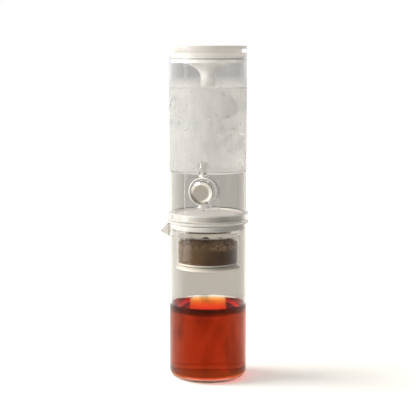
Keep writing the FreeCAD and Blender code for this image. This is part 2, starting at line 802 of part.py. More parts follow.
def make_valve_rotor():
    """Plug with an off-centre metering groove and two ring grooves, on a stem with a flat."""
    body = new_body("valve_rotor")
    half = "(rotor_ring_section / 2 + ring_gap)"
    back_ring = "(neck_setback - rotor_ring_spacing / 2)"
    front_ring = "(neck_setback + rotor_ring_spacing / 2)"
    turned(body, "plug", [
        ("0", "drum_back + rotor_gap"),
        ("rotor_radius", "drum_back + rotor_gap"),
        ("rotor_radius", f"{back_ring} - {half}"),
        ("rotor_ring_floor", f"{back_ring} - {half}"),
        ("rotor_ring_floor", f"{back_ring} + {half}"),
        ("rotor_radius", f"{back_ring} + {half}"),
        ("rotor_radius", f"{front_ring} - {half}"),
        ("rotor_ring_floor", f"{front_ring} - {half}"),
        ("rotor_ring_floor", f"{front_ring} + {half}"),
        ("rotor_radius", f"{front_ring} + {half}"),
        ("rotor_radius", "rotor_front"),
        ("stem_diameter / 2", "rotor_front"),
        ("stem_diameter / 2", "stem_reach"),
        ("0", "stem_reach"),
    ])
    groove = ring_sketch(body, "groove_outer", "XY_Plane", "0", "0", "rotor_bore / 2 + metering_offset",
                         "neck_setback - metering_width / 2")
    centre = FreeCAD.Vector(0, -value("metering_offset"), 0)
    radius = "rotor_radius - metering_offset * 1.05"
    edge = groove.addGeometry(Part.Circle(centre, FreeCAD.Vector(0, 0, 1), value(radius)))
    hold(groove, "DistanceX", edge, 3, "0")
    hold(groove, "DistanceY", edge, 3, "-metering_offset")
    constraint = groove.addConstraint(Sketcher.Constraint("Radius", edge, value(radius)))
    groove.setExpression(f"Constraints[{constraint}]", bound(radius))
    pocketed(body, "metering_groove", groove, "metering_width", True)
    flat = outline(body, "flat_outline", "XY_Plane", [
        ("-stem_diameter", "stem_diameter / 2 - stem_flat"),
        ("stem_diameter", "stem_diameter / 2 - stem_flat"),
        ("stem_diameter", "stem_diameter"),
        ("-stem_diameter", "stem_diameter"),
    ], "knob_back")
    pocketed(body, "drive_flat", flat, "stem_reach - knob_back", True)
    tapped = ring_sketch(body, "tapped_circle", "XY_Plane", "0", "0", "screw_shank / 2 + push_fit",
                         "screw_seat - screw_length - push_fit")
    pocketed(body, "tapped_hole", tapped, "screw_length", True)
    return face_forward(body)


def make_rotor_rings():
    """Two rubber rings, one each side of the metering groove."""
    places = {
        "rotor_ring_back": "neck_setback - rotor_ring_spacing / 2",
        "rotor_ring_front": "neck_setback + rotor_ring_spacing / 2",
    }
    for name, along in places.items():
        ring = doc.addObject("Part::Torus", name)
        ring.setExpression("Radius1", bound("rotor_ring_radius"))
        ring.setExpression("Radius2", bound("rotor_ring_section / 2"))
        keep(face_forward(ring, along), name)


def make_gland_nut():
    """Ring in the hub's mouth that keeps the rotor in and lets its stem out."""
    body = new_body("gland_nut")
    turned(body, "gland", [
        ("stem_diameter / 2 + running_fit", "rotor_seat"),
        ("gland_diameter / 2", "rotor_seat"),
        ("gland_diameter / 2", "hub_length"),
        ("stem_diameter / 2 + running_fit", "hub_length"),
    ])
    return face_forward(body)


def make_knob_core():
    """Knob's moulded core with a flatted bore for the stem and a recess for its screw."""
    body = new_body("knob_core")
    turned(body, "core", [
        ("0", "knob_back"),
        ("core_radius", "knob_back"),
        ("core_radius", "core_face - core_bevel"),
        ("core_radius - core_bevel", "core_face"),
        ("0", "core_face"),
    ])
    turned_out(body, "screw_recess", [
        ("0", "stem_reach - knob_web"),
        ("screw_shank / 2 + push_fit", "stem_reach - knob_web"),
        ("screw_shank / 2 + push_fit", "screw_seat"),
        ("screw_head / 2 + push_fit * 4", "screw_seat"),
        ("screw_head / 2 + push_fit * 4", "knob_face"),
        ("0", "knob_face"),
    ])
    reach = "(stem_diameter / 2 + push_fit)"
    flat = "(stem_diameter / 2 - stem_flat + push_fit)"
    half = f"(sqrt({reach} ^ 2 - {flat} ^ 2))"
    low = "(stem_diameter / 2)"
    side = f"(sqrt({reach} ^ 2 - {low} ^ 2 / 4))"
    bore = outline(body, "stem_outline", "XY_Plane", [
        (half, flat),
        (f"-{half}", flat, reach),
        (f"-{side}", f"-{low} / 2", reach),
        (side, f"-{low} / 2", reach),
    ], "knob_back")
    pocketed(body, "stem_bore", bore, "stem_reach - knob_back + push_fit", True)
    return face_forward(body)


def make_knob_cap():
    """Metal skin over the core, with a bevel round its face."""
    body = new_body("knob_cap")
    inner = "(knob_diameter / 2 - knob_skin)"
    inner_bevel = "(knob_bevel - knob_skin * 0.6)"
    turned(body, "skin", [
        ("0", "knob_face - knob_skin"),
        (f"{inner} - {inner_bevel}", "knob_face - knob_skin"),
        (inner, f"knob_face - knob_skin - {inner_bevel}"),
        (inner, "knob_back"),
        ("knob_diameter / 2", "knob_back"),
        ("knob_diameter / 2", "knob_face - knob_bevel"),
        ("knob_diameter / 2 - knob_bevel", "knob_face"),
        ("0", "knob_face"),
    ])
    return face_forward(body)


def make_knob_screw():
    """Screw through the core's web into the stem, hidden by the skin."""
    body = new_body("knob_screw")
    turned(body, "screw", [
        ("0", "screw_seat - screw_length"),
        ("screw_shank / 2", "screw_seat - screw_length"),
        ("screw_shank / 2", "screw_seat"),
        ("screw_head / 2", "screw_seat"),
        ("screw_head / 2", "screw_seat + screw_head_height * 0.6"),
        ("screw_head / 2 - screw_head_height * 0.4", "screw_seat + screw_head_height"),
        ("0", "screw_seat + screw_head_height"),
    ])
    return face_forward(body)


def make_lid_funnel():
    """White lid: flange on the tank's rim, plug inside it and a trumpet funnel on two tangent arcs."""
    body = new_body("lid_funnel")
    half = "(lid_ring_section / 2 + ring_gap)"
    bend = "(bell_reach + bell_tight_radius)"
    outer_across = f"bell_radius - bell_run / bell_reach * {bend}"
    outer_up = f"bell_centre + (bell_wide_radius - bell_depth) / bell_reach * {bend}"
    inner_bend = "(bell_wide_radius + funnel_wall)"
    inner_across = f"bell_radius - bell_run / bell_reach * {inner_bend}"
    inner_up = f"bell_centre + (bell_wide_radius - bell_depth) / bell_reach * {inner_bend}"
    turned(body, "lid", [
        ("throat_radius - funnel_wall", "throat_low"),
        ("throat_radius", "throat_low"),
        ("throat_radius", "throat_top", "-bell_tight_radius"),
        (outer_across, outer_up, "-bell_wide_radius"),
        ("bell_radius", "plug_low"),
        ("plug_radius", "plug_low"),
        ("plug_radius", f"lid_ring_level - {half}"),
        ("lid_ring_floor", f"lid_ring_level - {half}"),
        ("lid_ring_floor", f"lid_ring_level + {half}"),
        ("plug_radius", f"lid_ring_level + {half}"),
        ("plug_radius", "lid_seat"),
        ("tank_radius", "lid_seat"),
        ("tank_radius", "lid_flange_top"),
        ("lid_neck_radius", "lid_flange_top"),
        ("lid_neck_radius", "lid_neck_top"),
        ("lid_bore", "lid_neck_top"),
        ("lid_bore", "plug_low + funnel_wall"),
        ("bell_radius", "plug_low + funnel_wall", "(bell_wide_radius + funnel_wall)"),
        (inner_across, inner_up, "(bell_tight_radius + funnel_wall)"),
        ("throat_radius - funnel_wall", "throat_top"),
    ])
    return body


def make_lid_cap():
    """Flat cap whose hollow plug sits in the lid's neck and leaves a finger groove below its edge."""
    body = new_body("lid_cap")
    half = "(cap_ring_section / 2 + ring_gap)"
    plug_end = "(lid_neck_top - cap_plug_depth)"
    top = "(lid_neck_top + cap_thickness)"
    turned(body, "cap", [
        ("0", "lid_neck_top"),
        ("cap_plug_radius - cap_plug_wall", "lid_neck_top"),
        ("cap_plug_radius - cap_plug_wall", plug_end),
        ("cap_plug_radius", plug_end),
        ("cap_plug_radius", f"cap_ring_level - {half}"),
        ("cap_ring_floor", f"cap_ring_level - {half}"),
        ("cap_ring_floor", f"cap_ring_level + {half}"),
        ("cap_plug_radius", f"cap_ring_level + {half}"),
        ("cap_plug_radius", "lid_neck_top"),
        ("tank_radius", "lid_neck_top"),
        ("tank_radius", f"{top} - cap_round", "cap_round"),
        ("tank_radius - cap_round", top),
        ("0", top),
    ])
    return body


def main():
    """Make every sub-part, test it and write it to its own file."""
    make_carafe()
    make_brewed_coffee()
    make_chamber_cup()
    make_chamber_seat_ring()
    make_collar_gasket()
    make_filter_frame()
    make_filter_mesh()
    rubber_ring("filter_ring", "filter_ring_radius", "filter_ring_section", "filter_ring_level")
    make_coffee_grounds()
    make_spreader_plate()
    make_tank_shell()
    make_ice_water()
    make_inlet_seal()
    make_inlet_nut()
    make_inlet_strainer()
    make_valve_body()
    make_drip_nozzle()
    make_valve_rotor()
    make_rotor_rings()
    make_gland_nut()
    make_knob_core()
    make_knob_cap()
    make_knob_screw()
    make_lid_funnel()
    rubber_ring("lid_ring", "lid_ring_radius", "lid_ring_section", "lid_ring_level")
    make_lid_cap()
    rubber_ring("cap_ring", "cap_ring_radius", "cap_ring_section", "cap_ring_level")
    doc.recompute()
    for item in doc.Objects:
        if "Invalid" in item.State or "Error" in item.State:
            raise RuntimeError(f"{item.Label} failed: {item.State}")
    for node in NODES:
        if node.Shape.isNull() or not node.Shape.isValid():
            raise RuntimeError(f"{node.Label} has no valid shape")
    os.makedirs("parts", exist_ok=True)
    for node in NODES:
        node.Shape.exportStep(f"parts/{node.Label}.step")
        print(node.Label, "volume", round(node.Shape.Volume, 1))


main()
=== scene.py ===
import math
import random

import bmesh
import bpy
from bpy.props import FloatProperty, FloatVectorProperty, IntProperty, PointerProperty
from mathutils import Matrix, Vector, noise


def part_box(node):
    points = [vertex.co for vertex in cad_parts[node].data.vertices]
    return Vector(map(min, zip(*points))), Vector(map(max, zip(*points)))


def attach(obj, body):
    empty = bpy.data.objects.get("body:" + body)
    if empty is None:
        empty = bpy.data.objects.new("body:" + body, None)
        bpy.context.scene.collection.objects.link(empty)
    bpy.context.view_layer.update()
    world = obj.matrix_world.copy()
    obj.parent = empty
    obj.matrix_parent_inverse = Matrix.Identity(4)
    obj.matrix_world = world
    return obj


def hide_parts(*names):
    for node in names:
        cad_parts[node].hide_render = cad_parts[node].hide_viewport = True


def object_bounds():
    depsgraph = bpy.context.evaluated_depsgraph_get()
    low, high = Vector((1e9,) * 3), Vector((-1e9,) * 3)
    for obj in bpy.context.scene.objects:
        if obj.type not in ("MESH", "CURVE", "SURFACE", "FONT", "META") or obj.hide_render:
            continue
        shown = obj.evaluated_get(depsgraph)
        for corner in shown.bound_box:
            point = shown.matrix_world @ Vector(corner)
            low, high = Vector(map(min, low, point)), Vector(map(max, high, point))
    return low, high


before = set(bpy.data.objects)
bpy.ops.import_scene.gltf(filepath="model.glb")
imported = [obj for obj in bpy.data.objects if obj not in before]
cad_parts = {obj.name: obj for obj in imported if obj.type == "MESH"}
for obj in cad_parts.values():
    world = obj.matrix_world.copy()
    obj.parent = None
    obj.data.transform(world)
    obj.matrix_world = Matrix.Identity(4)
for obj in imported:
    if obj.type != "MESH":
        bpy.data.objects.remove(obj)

bl_info = {
    "name": "Cold drip coffee tower",
    "version": (1, 0, 0),
    "blender": (4, 5, 0),
    "location": "3D View > Sidebar > Drip Tower",
    "description": "Dresses the packed cold drip tower: blown carafe, brew, ice tank, valve, lid and stage",
    "category": "Object",
}

CAD_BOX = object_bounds()
SMOOTH_ANGLE = math.radians(38)
ON_AXIS = 1e-7
PLASTIC_IOR = 1.49
GLASS_IOR = 1.47
WATER_IOR = 1.333
COFFEE_IOR = 1.335
RISING = [(0.0, 0.0), (1.0, 1.0)]
FALLING = [(0.0, 1.0), (1.0, 0.0)]


def low(node):
    """Height of a CAD node's lowest point."""
    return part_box(node)[0].z


def high(node):
    """Height of a CAD node's highest point."""
    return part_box(node)[1].z


def reach(node):
    """Radius of a CAD node that is round about the tower's axis."""
    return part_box(node)[1].x


def length(name, description, default):
    """A size in metres."""
    return FloatProperty(name=name, description=description, default=default, unit="LENGTH", precision=5)


def share(name, description, default):
    """A share from 0 to 1."""
    return FloatProperty(name=name, description=description, default=default, min=0, max=1, subtype="FACTOR")


def colour(name, description, default):
    """A colour in linear light."""
    return FloatVectorProperty(name=name, description=description, default=default, size=3, subtype="COLOR",
                               min=0, max=1)


def position(name, description, default):
    """A place in the tower's frame."""
    return FloatVectorProperty(name=name, description=description, default=default, size=3, subtype="XYZ",
                               unit="LENGTH", precision=5)


def amount(name, description, default):
    """A plain number from 0 up."""
    return FloatProperty(name=name, description=description, default=default, min=0)


def number_of(name, description, default):
    """A whole number from 0 up."""
    return IntProperty(name=name, description=description, default=default, min=0)


def angle(name, description, degrees):
    """An angle, given in degrees."""
    return FloatProperty(name=name, description=description, default=math.radians(degrees), subtype="ANGLE")


class CarafeSettings(bpy.types.PropertyGroup):
    """Sizes of the blown carafe and of the coffee in it."""

    wall: length("Wall", "Thickness of the carafe's wall", 0.0022)
    base: length("Base", "Thickness of the carafe's base", 0.005)
    base_hollow: length("Base hollow", "How far the base is hollow underneath", 0.0006)
    base_dome: length("Base dome", "How far the base is domed inside", 0.0007)
    foot_round: length("Foot round", "Rounding of the ring that it stands on", 0.004)
    heel: length("Heel", "Radius of the rounded heel", 0.010)
    rim: length("Rim", "Radius of the fire-polished rim", 0.0009)
    beak_half_width: length("Beak half width", "Half of the beak's width at the wall", 0.0125)
    beak_height: length("Beak height", "How far down from the rim the beak starts", 0.020)
    beak_drop: length("Beak drop", "How far the lip lies under the rim at the tip", 0.0126)
    meniscus: length("Meniscus", "Rise of the coffee where it wets the glass", 0.0011)
    soak: length("Soak", "How far a liquid's skin lies in the wall that holds it", 0.0002)
    glass_front: colour("Glass front", "What the front wall lets through", (0.93, 0.925, 0.915))
    # Painted shade: the back wall's grey tint above the coffee.
    glass_back_shade: colour("Glass back", "What the back wall lets through", (0.40, 0.373, 0.34))
    # Painted shade: the beak's walls are tinted darker grey.
    beak_shade: colour("Beak tint", "What one wall of the beak lets through", (0.74, 0.73, 0.705))
    coffee_tint: colour("Coffee tint", "Colour of the coffee's absorption", (0.964, 0.589, 0.0))
    # Painted shade on the coffee's skin: darker in front, with dark bands under the surface and at the bottom.
    painted_front_shade: colour("Front skin", "Tone of the coffee against the front wall", (0.19, 0.17, 0.15))
    coffee_density: amount("Coffee density", "Absorption of the coffee per metre", 90.0)
    # Painted shade bands under the surface and at the bottom.
    painted_shade_band: length("Dark band", "Height of the dark band under the coffee's surface", 0.0078)
    painted_bottom_shade: length("Bottom band", "Height of the dark band at the coffee's bottom", 0.006)
    skin: length("Skin", "Depth of the coffee's painted skin at the wall", 0.0015)
    pale_back: colour("Pale back", "What the back wall lets through behind the coffee", (0.97, 0.96, 0.94))


class BrewSettings(bpy.types.PropertyGroup):
    """Sizes and colours of the brew chamber, its mesh filter and the ground coffee."""

    cup_tint: colour("Cup tint", "What one wall of the clear cup lets through", (0.955, 0.945, 0.93))
    wire_pitch: length("Wire pitch", "Spacing of the mesh's wires", 0.0012)
    wire_radius: length("Wire radius", "Radius of one wire of the mesh", 0.00016)
    grain_size: length("Grain size", "Mean size of one coffee grain", 0.0015)
    grain_count: number_of("Grain count", "Loose grains over the bed", 2000)
    dark_grounds: colour("Dark grounds", "Wet ground coffee", (0.056, 0.026, 0.004))
    light_grounds: colour("Light grounds", "Dry chaff among the grounds", (0.33, 0.20, 0.11))
    dry_grounds: colour("Dry grounds", "Dry clumps at the top of the bed", (0.66, 0.44, 0.29))
    silicone: colour("Silicone", "Translucent seat ring and gasket", (0.82, 0.81, 0.79))
    frame_plastic: colour("Frame plastic", "Moulded frame of the filter", (0.72, 0.67, 0.59))
    ring_rubber: colour("Ring rubber", "Ring that seals the filter", (0.42, 0.39, 0.34))
    mesh_steel: colour("Mesh steel", "Woven wires of the filter", (0.62, 0.60, 0.56))
    spreader_plastic: colour("Spreader plastic", "Tray that spreads the drips", (0.60, 0.58, 0.555))


class TankSettings(bpy.types.PropertyGroup):
    """Sizes and colours of the ice tank and its condensation."""

    tank_front: colour("Tank front", "What the tank's front wall lets through", (0.93, 0.925, 0.915))
    # Painted shade: the back wall's grey tints behind the valve and behind the lid.
    valve_back_shade: colour("Valve back", "What the back wall lets through behind the valve",
                       (0.335, 0.325, 0.315))
    water_back: colour("Water back", "What the back wall lets through behind the water", (0.94, 0.93, 0.915))
    lid_back_shade: colour("Lid back", "What the back wall lets through behind the lid", (0.44, 0.43, 0.415))
    fog_top: length("Fog top", "Height up to which the wall is misted", 0.3565)
    fog_wave: length("Fog wave", "How far the mist's upper edge wanders", 0.0022)
    fog_cover: share("Fog cover", "How much of the view one face of the mist hides", 0.30)
    fog_colour: colour("Fog colour", "Colour of the misted wall", (0.97, 0.965, 0.95))
    film: length("Film", "Thickness of the mist's skin", 0.00005)
    drop_count: number_of("Drop count", "Droplets on the tank's wall", 260)
    drop_size: length("Drop size", "Mean radius of a droplet", 0.00062)
    left_cluster: position("Left cluster", "Middle of the droplets on the left", (-0.0335, -0.030, 0.320))
    right_cluster: position("Right cluster", "Middle of the droplets on the right", (0.029, -0.034, 0.281))
    cluster_reach: length("Cluster reach", "How far a cluster of droplets spreads", 0.021)
    ice_count: number_of("Ice count", "Blocks of ice in the water", 16)
    ice_size: length("Ice size", "Mean edge of a block of ice", 0.024)
    water_rise: length("Water rise", "Rise of the water where it wets the tank", 0.0008)
    window_half_width: length("Window half width", "Half of the finger window's width", 0.0195)
    window_drop: length("Window drop", "How far the window's sill lies under the valve's axis", 0.0196)
    window_height: length("Window height", "Height of the finger window", 0.035)
    window_depth: length("Window depth", "How far in front of the axis the windowed wall starts", 0.036)


class ValveSettings(bpy.types.PropertyGroup):
    """Colours of the drip valve and its knob."""

    valve_tint: colour("Valve tint", "What one wall of the clear valve lets through", (0.93, 0.925, 0.915))
    knob_steel: colour("Knob steel", "Brushed face of the knob", (0.38, 0.342, 0.30))
    drop_radius: length("Drop radius", "Radius of the drop that hangs from the nozzle", 0.0017)
    white_plastic: colour("White plastic", "Rotor and gland nut", (0.82, 0.815, 0.80))
    seal_silicone: colour("Seal silicone", "Seal of the tank's inlet", (0.84, 0.84, 0.83))
    ring_rubber: colour("Ring rubber", "Rings on the rotor", (0.18, 0.175, 0.17))
    strainer_steel: colour("Strainer steel", "Strainer over the inlet", (0.66, 0.64, 0.60))
    core_plastic: colour("Core plastic", "Grey core of the knob", (0.30, 0.295, 0.285))
    screw_steel: colour("Screw steel", "Screw that holds the knob", (0.60, 0.585, 0.56))
    bevel_width: length("Bevel width", "Width of the polished bevel round the knob's face", 0.0042)
    # Painted shade: the bevel's dark crescent at the lower left.
    bevel_shade: colour("Bevel dark", "Dark crescent at the bevel's lower left", (0.15, 0.13, 0.11))


class LidSettings(bpy.types.PropertyGroup):
    """Colours of the lid and of its cap."""

    white: colour("White", "Moulded white plastic", (0.90, 0.88, 0.845))
    # Painted light: the lid's glow stands in for light that passes through its plastic.
    painted_glow: share("Glow", "Faint light that the lid's plastic gives off", 0.09)
    ring_silicone: colour("Ring silicone", "Rings that seal the lid and its cap", (0.8, 0.79, 0.77))


class StageSettings(bpy.types.PropertyGroup):
    """Camera, lamps and floor."""

    camera_turn: angle("Camera turn", "Angle of the camera to the right of the front", 10)
    camera_pitch: angle("Camera pitch", "Angle that the camera looks down", 7.4)
    camera_distance: length("Camera distance", "Level distance of the camera from the axis", 1.4)
    camera_height: length("Camera height", "Height of the camera above the table", 0.3837)
    camera_lens: amount("Camera lens", "Focal length in millimetres", 103.93)
    key_strength: amount("Key strength", "Strength of the sun lamp", 2.3)
    key_spread: angle("Key spread", "Width of the sun lamp's disc", 26)
    key_colour: colour("Key colour", "Colour of the sun lamp", (1.0, 0.975, 0.94))
    key_side: position("Key side", "Way from the tower to the sun lamp", (-1.0, -0.10, 1.43))
    strip_power: amount("Strip power", "Power of the upright strip on the left in watts", 2.2)
    strip_width: length("Strip width", "Width of the upright strip", 0.22)
    strip_height: length("Strip height", "Height of the upright strip", 0.6)
    strip_place: position("Strip place", "Middle of the upright strip", (-0.686, -0.412, 0.30))
    floor_half: length("Floor half", "Half of the floor's side", 6.0)
    floor_white: colour("Floor white", "Pale floor", (0.90, 0.885, 0.86))
    floor_glow: colour("Floor glow", "Colour of the light that lifts the floor to white", (0.90, 1.0, 1.0))
    floor_lift: amount("Floor lift", "Strength of the light that lifts the floor", 0.25)
    floor_bounce: colour("Floor bounce", "Floor as it lights matt surfaces", (0.5, 0.48, 0.46))
    ambient: colour("Ambient", "Light of the room on matt surfaces", (0.49, 0.46, 0.42))


class Signal:
    """An output socket. Arithmetic on it adds Math nodes to its tree."""

    def __init__(self, wiring, socket):
        self.wiring = wiring
        self.socket = socket

    def __add__(self, other):
        return self.wiring.math("ADD", self, other)

    def __radd__(self, other):
        return self.wiring.math("ADD", other, self)

    def __sub__(self, other):
        return self.wiring.math("SUBTRACT", self, other)

    def __rsub__(self, other):
        return self.wiring.math("SUBTRACT", other, self)

    def __mul__(self, other):
        return self.wiring.math("MULTIPLY", self, other)

    def __rmul__(self, other):
        return self.wiring.math("MULTIPLY", other, self)

    def __truediv__(self, other):
        return self.wiring.math("DIVIDE", self, other)

    def output(self, name):
        """Another output of the same node."""
        return Signal(self.wiring, self.socket.node.outputs[name])


class Wiring:
    """A node tree that is filled from Python."""

    def __init__(self, tree):
        self.tree = tree

    def node(self, kind, settings=None, sockets=None, output=0):
        """Add a node: its settings first, then the values or links of its sockets."""
        node = self.tree.nodes.new(kind)
        for name, setting in (settings or {}).items():
            if name == "stops":
                self.set_stops(node.color_ramp, setting)
            else:
                setattr(node, name, setting)
        for key, item in (sockets or {}).items():
            if isinstance(item, Signal):
                self.tree.links.new(item.socket, node.inputs[key])
            else:
                node.inputs[key].default_value = item
        return Signal(self, node.outputs[output]) if node.outputs else node

    def set_stops(self, ramp, stops):
        """Place a ramp's stops, each a position and a colour or a grey level."""
        while len(ramp.elements) < len(stops):
            ramp.elements.new(1)
        for element, (position, shade) in zip(ramp.elements, stops):
            element.position = position
            element.color = (shade, shade, shade, 1) if isinstance(shade, (int, float)) else (*shade, 1)

    def math(self, operation, *values):
        """Work one value out of others."""
        return self.node("ShaderNodeMath", {"operation": operation}, dict(enumerate(values)))

    def vector(self, *parts):
        """Join three values into a vector."""
        return self.node("ShaderNodeCombineXYZ", sockets=dict(zip("XYZ", parts)))


class Finish(Wiring):
    """One material, built from its surface back to its patterns."""

    def __init__(self, name):
        self.material = bpy.data.materials.new(name)
        self.material.use_nodes = True
        super().__init__(self.material.node_tree)
        self.tree.nodes.clear()
        self.place = self.node("ShaderNodeTexCoord", output="Object")

    def stretched(self, scale):
        """Object coordinates, stretched by a scale for each axis."""
        return self.node("ShaderNodeMapping", sockets={"Vector": self.place, "Scale": scale})

    def noise(self, scale, detail=3.0, stretch=(1, 1, 1)):
        """Cloudy pattern from 0 to 1, with a number of clouds per metre."""
        return self.node("ShaderNodeTexNoise", sockets={
            "Vector": self.stretched(stretch), "Scale": scale, "Detail": detail})

    def cells(self, scale):
        """Distance to the nearest of a number of scattered points per metre."""
        return self.node("ShaderNodeTexVoronoi", sockets={"Vector": self.place, "Scale": scale})

    def along(self, axis):
        """One of the object coordinates."""
        return self.node("ShaderNodeSeparateXYZ", sockets={"Vector": self.place}, output=axis)

    def ramp(self, value, stops):
        """Colour or level by value."""
        return self.node("ShaderNodeValToRGB", {"stops": stops}, {"Fac": value})

    def rise(self, value, start, width):
        """0 up to a start, and 1 from a width beyond it."""
        return self.ramp((value - start) / width, RISING)

    def fall(self, value, start, width):
        """1 up to a start, and 0 from a width beyond it."""
        return self.ramp((value - start) / width, FALLING)

    def blend(self, factor, first, second):
        """Mix two colours, which are the node's sockets 6 and 7."""
        sockets = {0: factor, 6: self.rgba(first), 7: self.rgba(second)}
        return self.node("ShaderNodeMix", {"data_type": "RGBA"}, sockets, output=2)

    def rgba(self, shade):
        """A colour as a socket takes it."""
        return shade if isinstance(shade, Signal) else (*shade, 1)

    def bump(self, height, strength, distance):
        """Normal that follows a height pattern."""
        return self.node("ShaderNodeBump", sockets={
            "Height": height, "Strength": strength, "Distance": distance})

    def principled(self, **sockets):
        """The main shader, with its sockets named with underscores."""
        named = {key.replace("_", " "): item for key, item in sockets.items()}
        if not isinstance(named.get("Base Color", self.place), Signal):
            named["Base Color"] = self.rgba(named["Base Color"])
        return self.node("ShaderNodeBsdfPrincipled", sockets=named)

    def lamp_clear(self, surface, shadow):
        """Let the lamps' light through, dimmed to a shadow colour, and leave the rest as it is."""
        path = self.node("ShaderNodeLightPath", output="Is Shadow Ray")
        open_way = self.node("ShaderNodeBsdfTransparent", sockets={"Color": self.rgba(shadow)})
        return self.node("ShaderNodeMixShader", sockets={0: path, 1: surface, 2: open_way})

    def finish(self, surface, volume=None):
        """Join the shader to the material's output."""
        sockets = {"Surface": surface}
        if volume:
            sockets["Volume"] = volume
        self.node("ShaderNodeOutputMaterial", sockets=sockets)
        return self.material


def clear_finish(name, front, back, ior, shadow, wave, smudge=0.02, gloss=0.10, far_end=None, painted_highlight=None,
                 faint=None):
    """Clear glass or plastic: faint waviness, a few smudges and a tint that changes from front to back; a
    darker back is painted shade.

    The back's tint may be a function that paints it. far_end holds a radius and the tint past it, which is
    painted shade; a highlight mask mixes in a pale matt shader as painted highlights; and faint paints where
    the wall hardly shows.
    """
    paint = Finish(name)
    waves = paint.noise(38, 2, (1, 1, 0.35))
    film = paint.noise(160, 3)
    depth = paint.along("Y") * (0.5 / CAD_BOX[1].y) + 0.5
    if callable(back):
        back = back(paint)
    # A back tint darker than the front is painted shade.
    tinted = paint.blend(paint.ramp(depth, [(0.2, 0.0), (0.8, 1.0)]), front, back)
    if far_end:
        # Past the radius the drawn-out end takes its own tint, as painted shade.
        radius, end_shade = far_end
        beyond = paint.rise(paint.along("X") * -1, radius, 0.003)
        tinted = paint.blend(beyond, tinted, end_shade)
        waves = waves + beyond * paint.noise(240, 2) * 9
    surface = paint.principled(
        Base_Color=paint.blend(film * 0.08, tinted, (1, 1, 1)),
        Roughness=paint.ramp(film, [(0.45, 0.0), (0.9, smudge)]),
        IOR=ior,
        Specular_Tint=(gloss, gloss, gloss, 1),
        Transmission_Weight=1.0,
        Normal=paint.bump(waves, wave, 0.0006),
    )
    if faint:
        shader = surface.socket.node
        paint.tree.links.new((1 - faint(paint) * 0.85).socket, shader.inputs["Alpha"])
    if painted_highlight:
        # Painted highlight: a pale matt shader mixed in where the mask shows.
        edge = paint.principled(Base_Color=(0.95, 0.94, 0.92), Roughness=0.25)
        surface = paint.node("ShaderNodeMixShader", sockets={0: painted_highlight(paint), 1: surface, 2: edge})
    return paint.finish(paint.lamp_clear(surface, shadow))


def water_finish(name, tint, shadow, ripple=0.0):
    """Clear water with faint ripples."""
    paint = Finish(name)
    ripples = paint.noise(70, 1.5)
    surface = paint.principled(
        Base_Color=paint.blend(ripples, tint, tuple(level * 0.985 for level in tint)),
        Roughness=0.0,
        IOR=WATER_IOR,
        Specular_Tint=(0.15, 0.15, 0.15, 1),
        Transmission_Weight=1.0,
        Normal=paint.bump(ripples, ripple, 0.0004),
    )
    return paint.finish(paint.lamp_clear(surface, shadow))


def moulded_finish(name, shade, roughness=0.34, painted_glow=0.0):
    """Moulded plastic: a fine grain, faint clouding and a satin sheen; a glow, where given, is painted light.
    """
    paint = Finish(name)
    clouds = paint.noise(55, 3)
    fine = paint.noise(2600, 2)
    dimmer = tuple(level * 0.955 for level in shade)
    surface = paint.principled(
        Base_Color=paint.blend(clouds, dimmer, shade),
        Roughness=clouds * 0.12 + (roughness - 0.06),
        IOR=1.46,
        Subsurface_Weight=0.06,
        Subsurface_Scale=0.002,
        # A glow is painted light, for light that passes through the plastic.
        Emission_Color=(1.0, 0.97, 0.92, 1),
        Emission_Strength=painted_glow,
        Normal=paint.bump(fine, 0.12, 0.00012),
    )
    return paint.finish(surface)


def silicone_finish(name, shade):
    """Milky silicone that lets some light through."""
    paint = Finish(name)
    clouds = paint.noise(240, 3)
    surface = paint.principled(
        Base_Color=paint.blend(clouds, tuple(level * 0.94 for level in shade), shade),
        Roughness=clouds * 0.15 + 0.25,
        IOR=1.41,
        Transmission_Weight=0.35,
        Normal=paint.bump(clouds, 0.2, 0.0001),
    )
    return paint.finish(paint.lamp_clear(surface, (0.7, 0.7, 0.69)))


def rubber_finish(name, shade):
    """Rubber with a dusty bloom."""
    paint = Finish(name)
    bloom = paint.noise(420, 4)
    surface = paint.principled(
        Base_Color=paint.blend(bloom, shade, (0.06, 0.058, 0.055)),
        Roughness=bloom * 0.2 + 0.45,
        IOR=1.5,
        Normal=paint.bump(bloom, 0.3, 0.0001),
    )
    return paint.finish(surface)


def steel_finish(name, shade):
    """Drawn stainless steel with fine streaks."""
    paint = Finish(name)
    streaks = paint.noise(900, 3, (1, 1, 0.08))
    surface = paint.principled(
        Base_Color=paint.blend(streaks, tuple(level * 0.86 for level in shade), shade),
        Roughness=streaks * 0.2 + 0.14,
        Metallic=1.0,
        Normal=paint.bump(streaks, 0.15, 0.00005),
    )
    return paint.finish(surface)


def turn(name, outline, steps):
    """Turn an outline of (radius, height) points, closed on itself or on the axis, into a skin."""
    mesh = bpy.data.meshes.new(name)
    skin = bmesh.new()
    rings = []
    for radius, height in outline:
        if radius < ON_AXIS:
            rings.append([skin.verts.new((0, 0, height))])
            continue
        turns = [2 * math.pi * step / steps for step in range(steps)]
        rings.append([skin.verts.new((radius * math.cos(a), radius * math.sin(a), height)) for a in turns])
    for index, ring in enumerate(rings):
        after = rings[(index + 1) % len(rings)]
        if len(ring) == 1 and len(after) == 1:
            continue
        for step in range(steps):
            around = (step + 1) % steps
            corners = [ring[step % len(ring)], ring[around % len(ring)],
                       after[around % len(after)], after[step % len(after)]]
            skin.faces.new(list(dict.fromkeys(corners)))
    bmesh.ops.recalc_face_normals(skin, faces=skin.faces)
    skin.to_mesh(mesh)
    skin.free()
    return placed(name, mesh)


def placed(name, mesh):
    """Put a mesh into the scene as a smooth object at the origin."""
    mesh.shade_smooth()
    mesh.set_sharp_from_angle(angle=SMOOTH_ANGLE)
    thing = bpy.data.objects.new(name, mesh)
    bpy.context.scene.collection.objects.link(thing)
    return thing


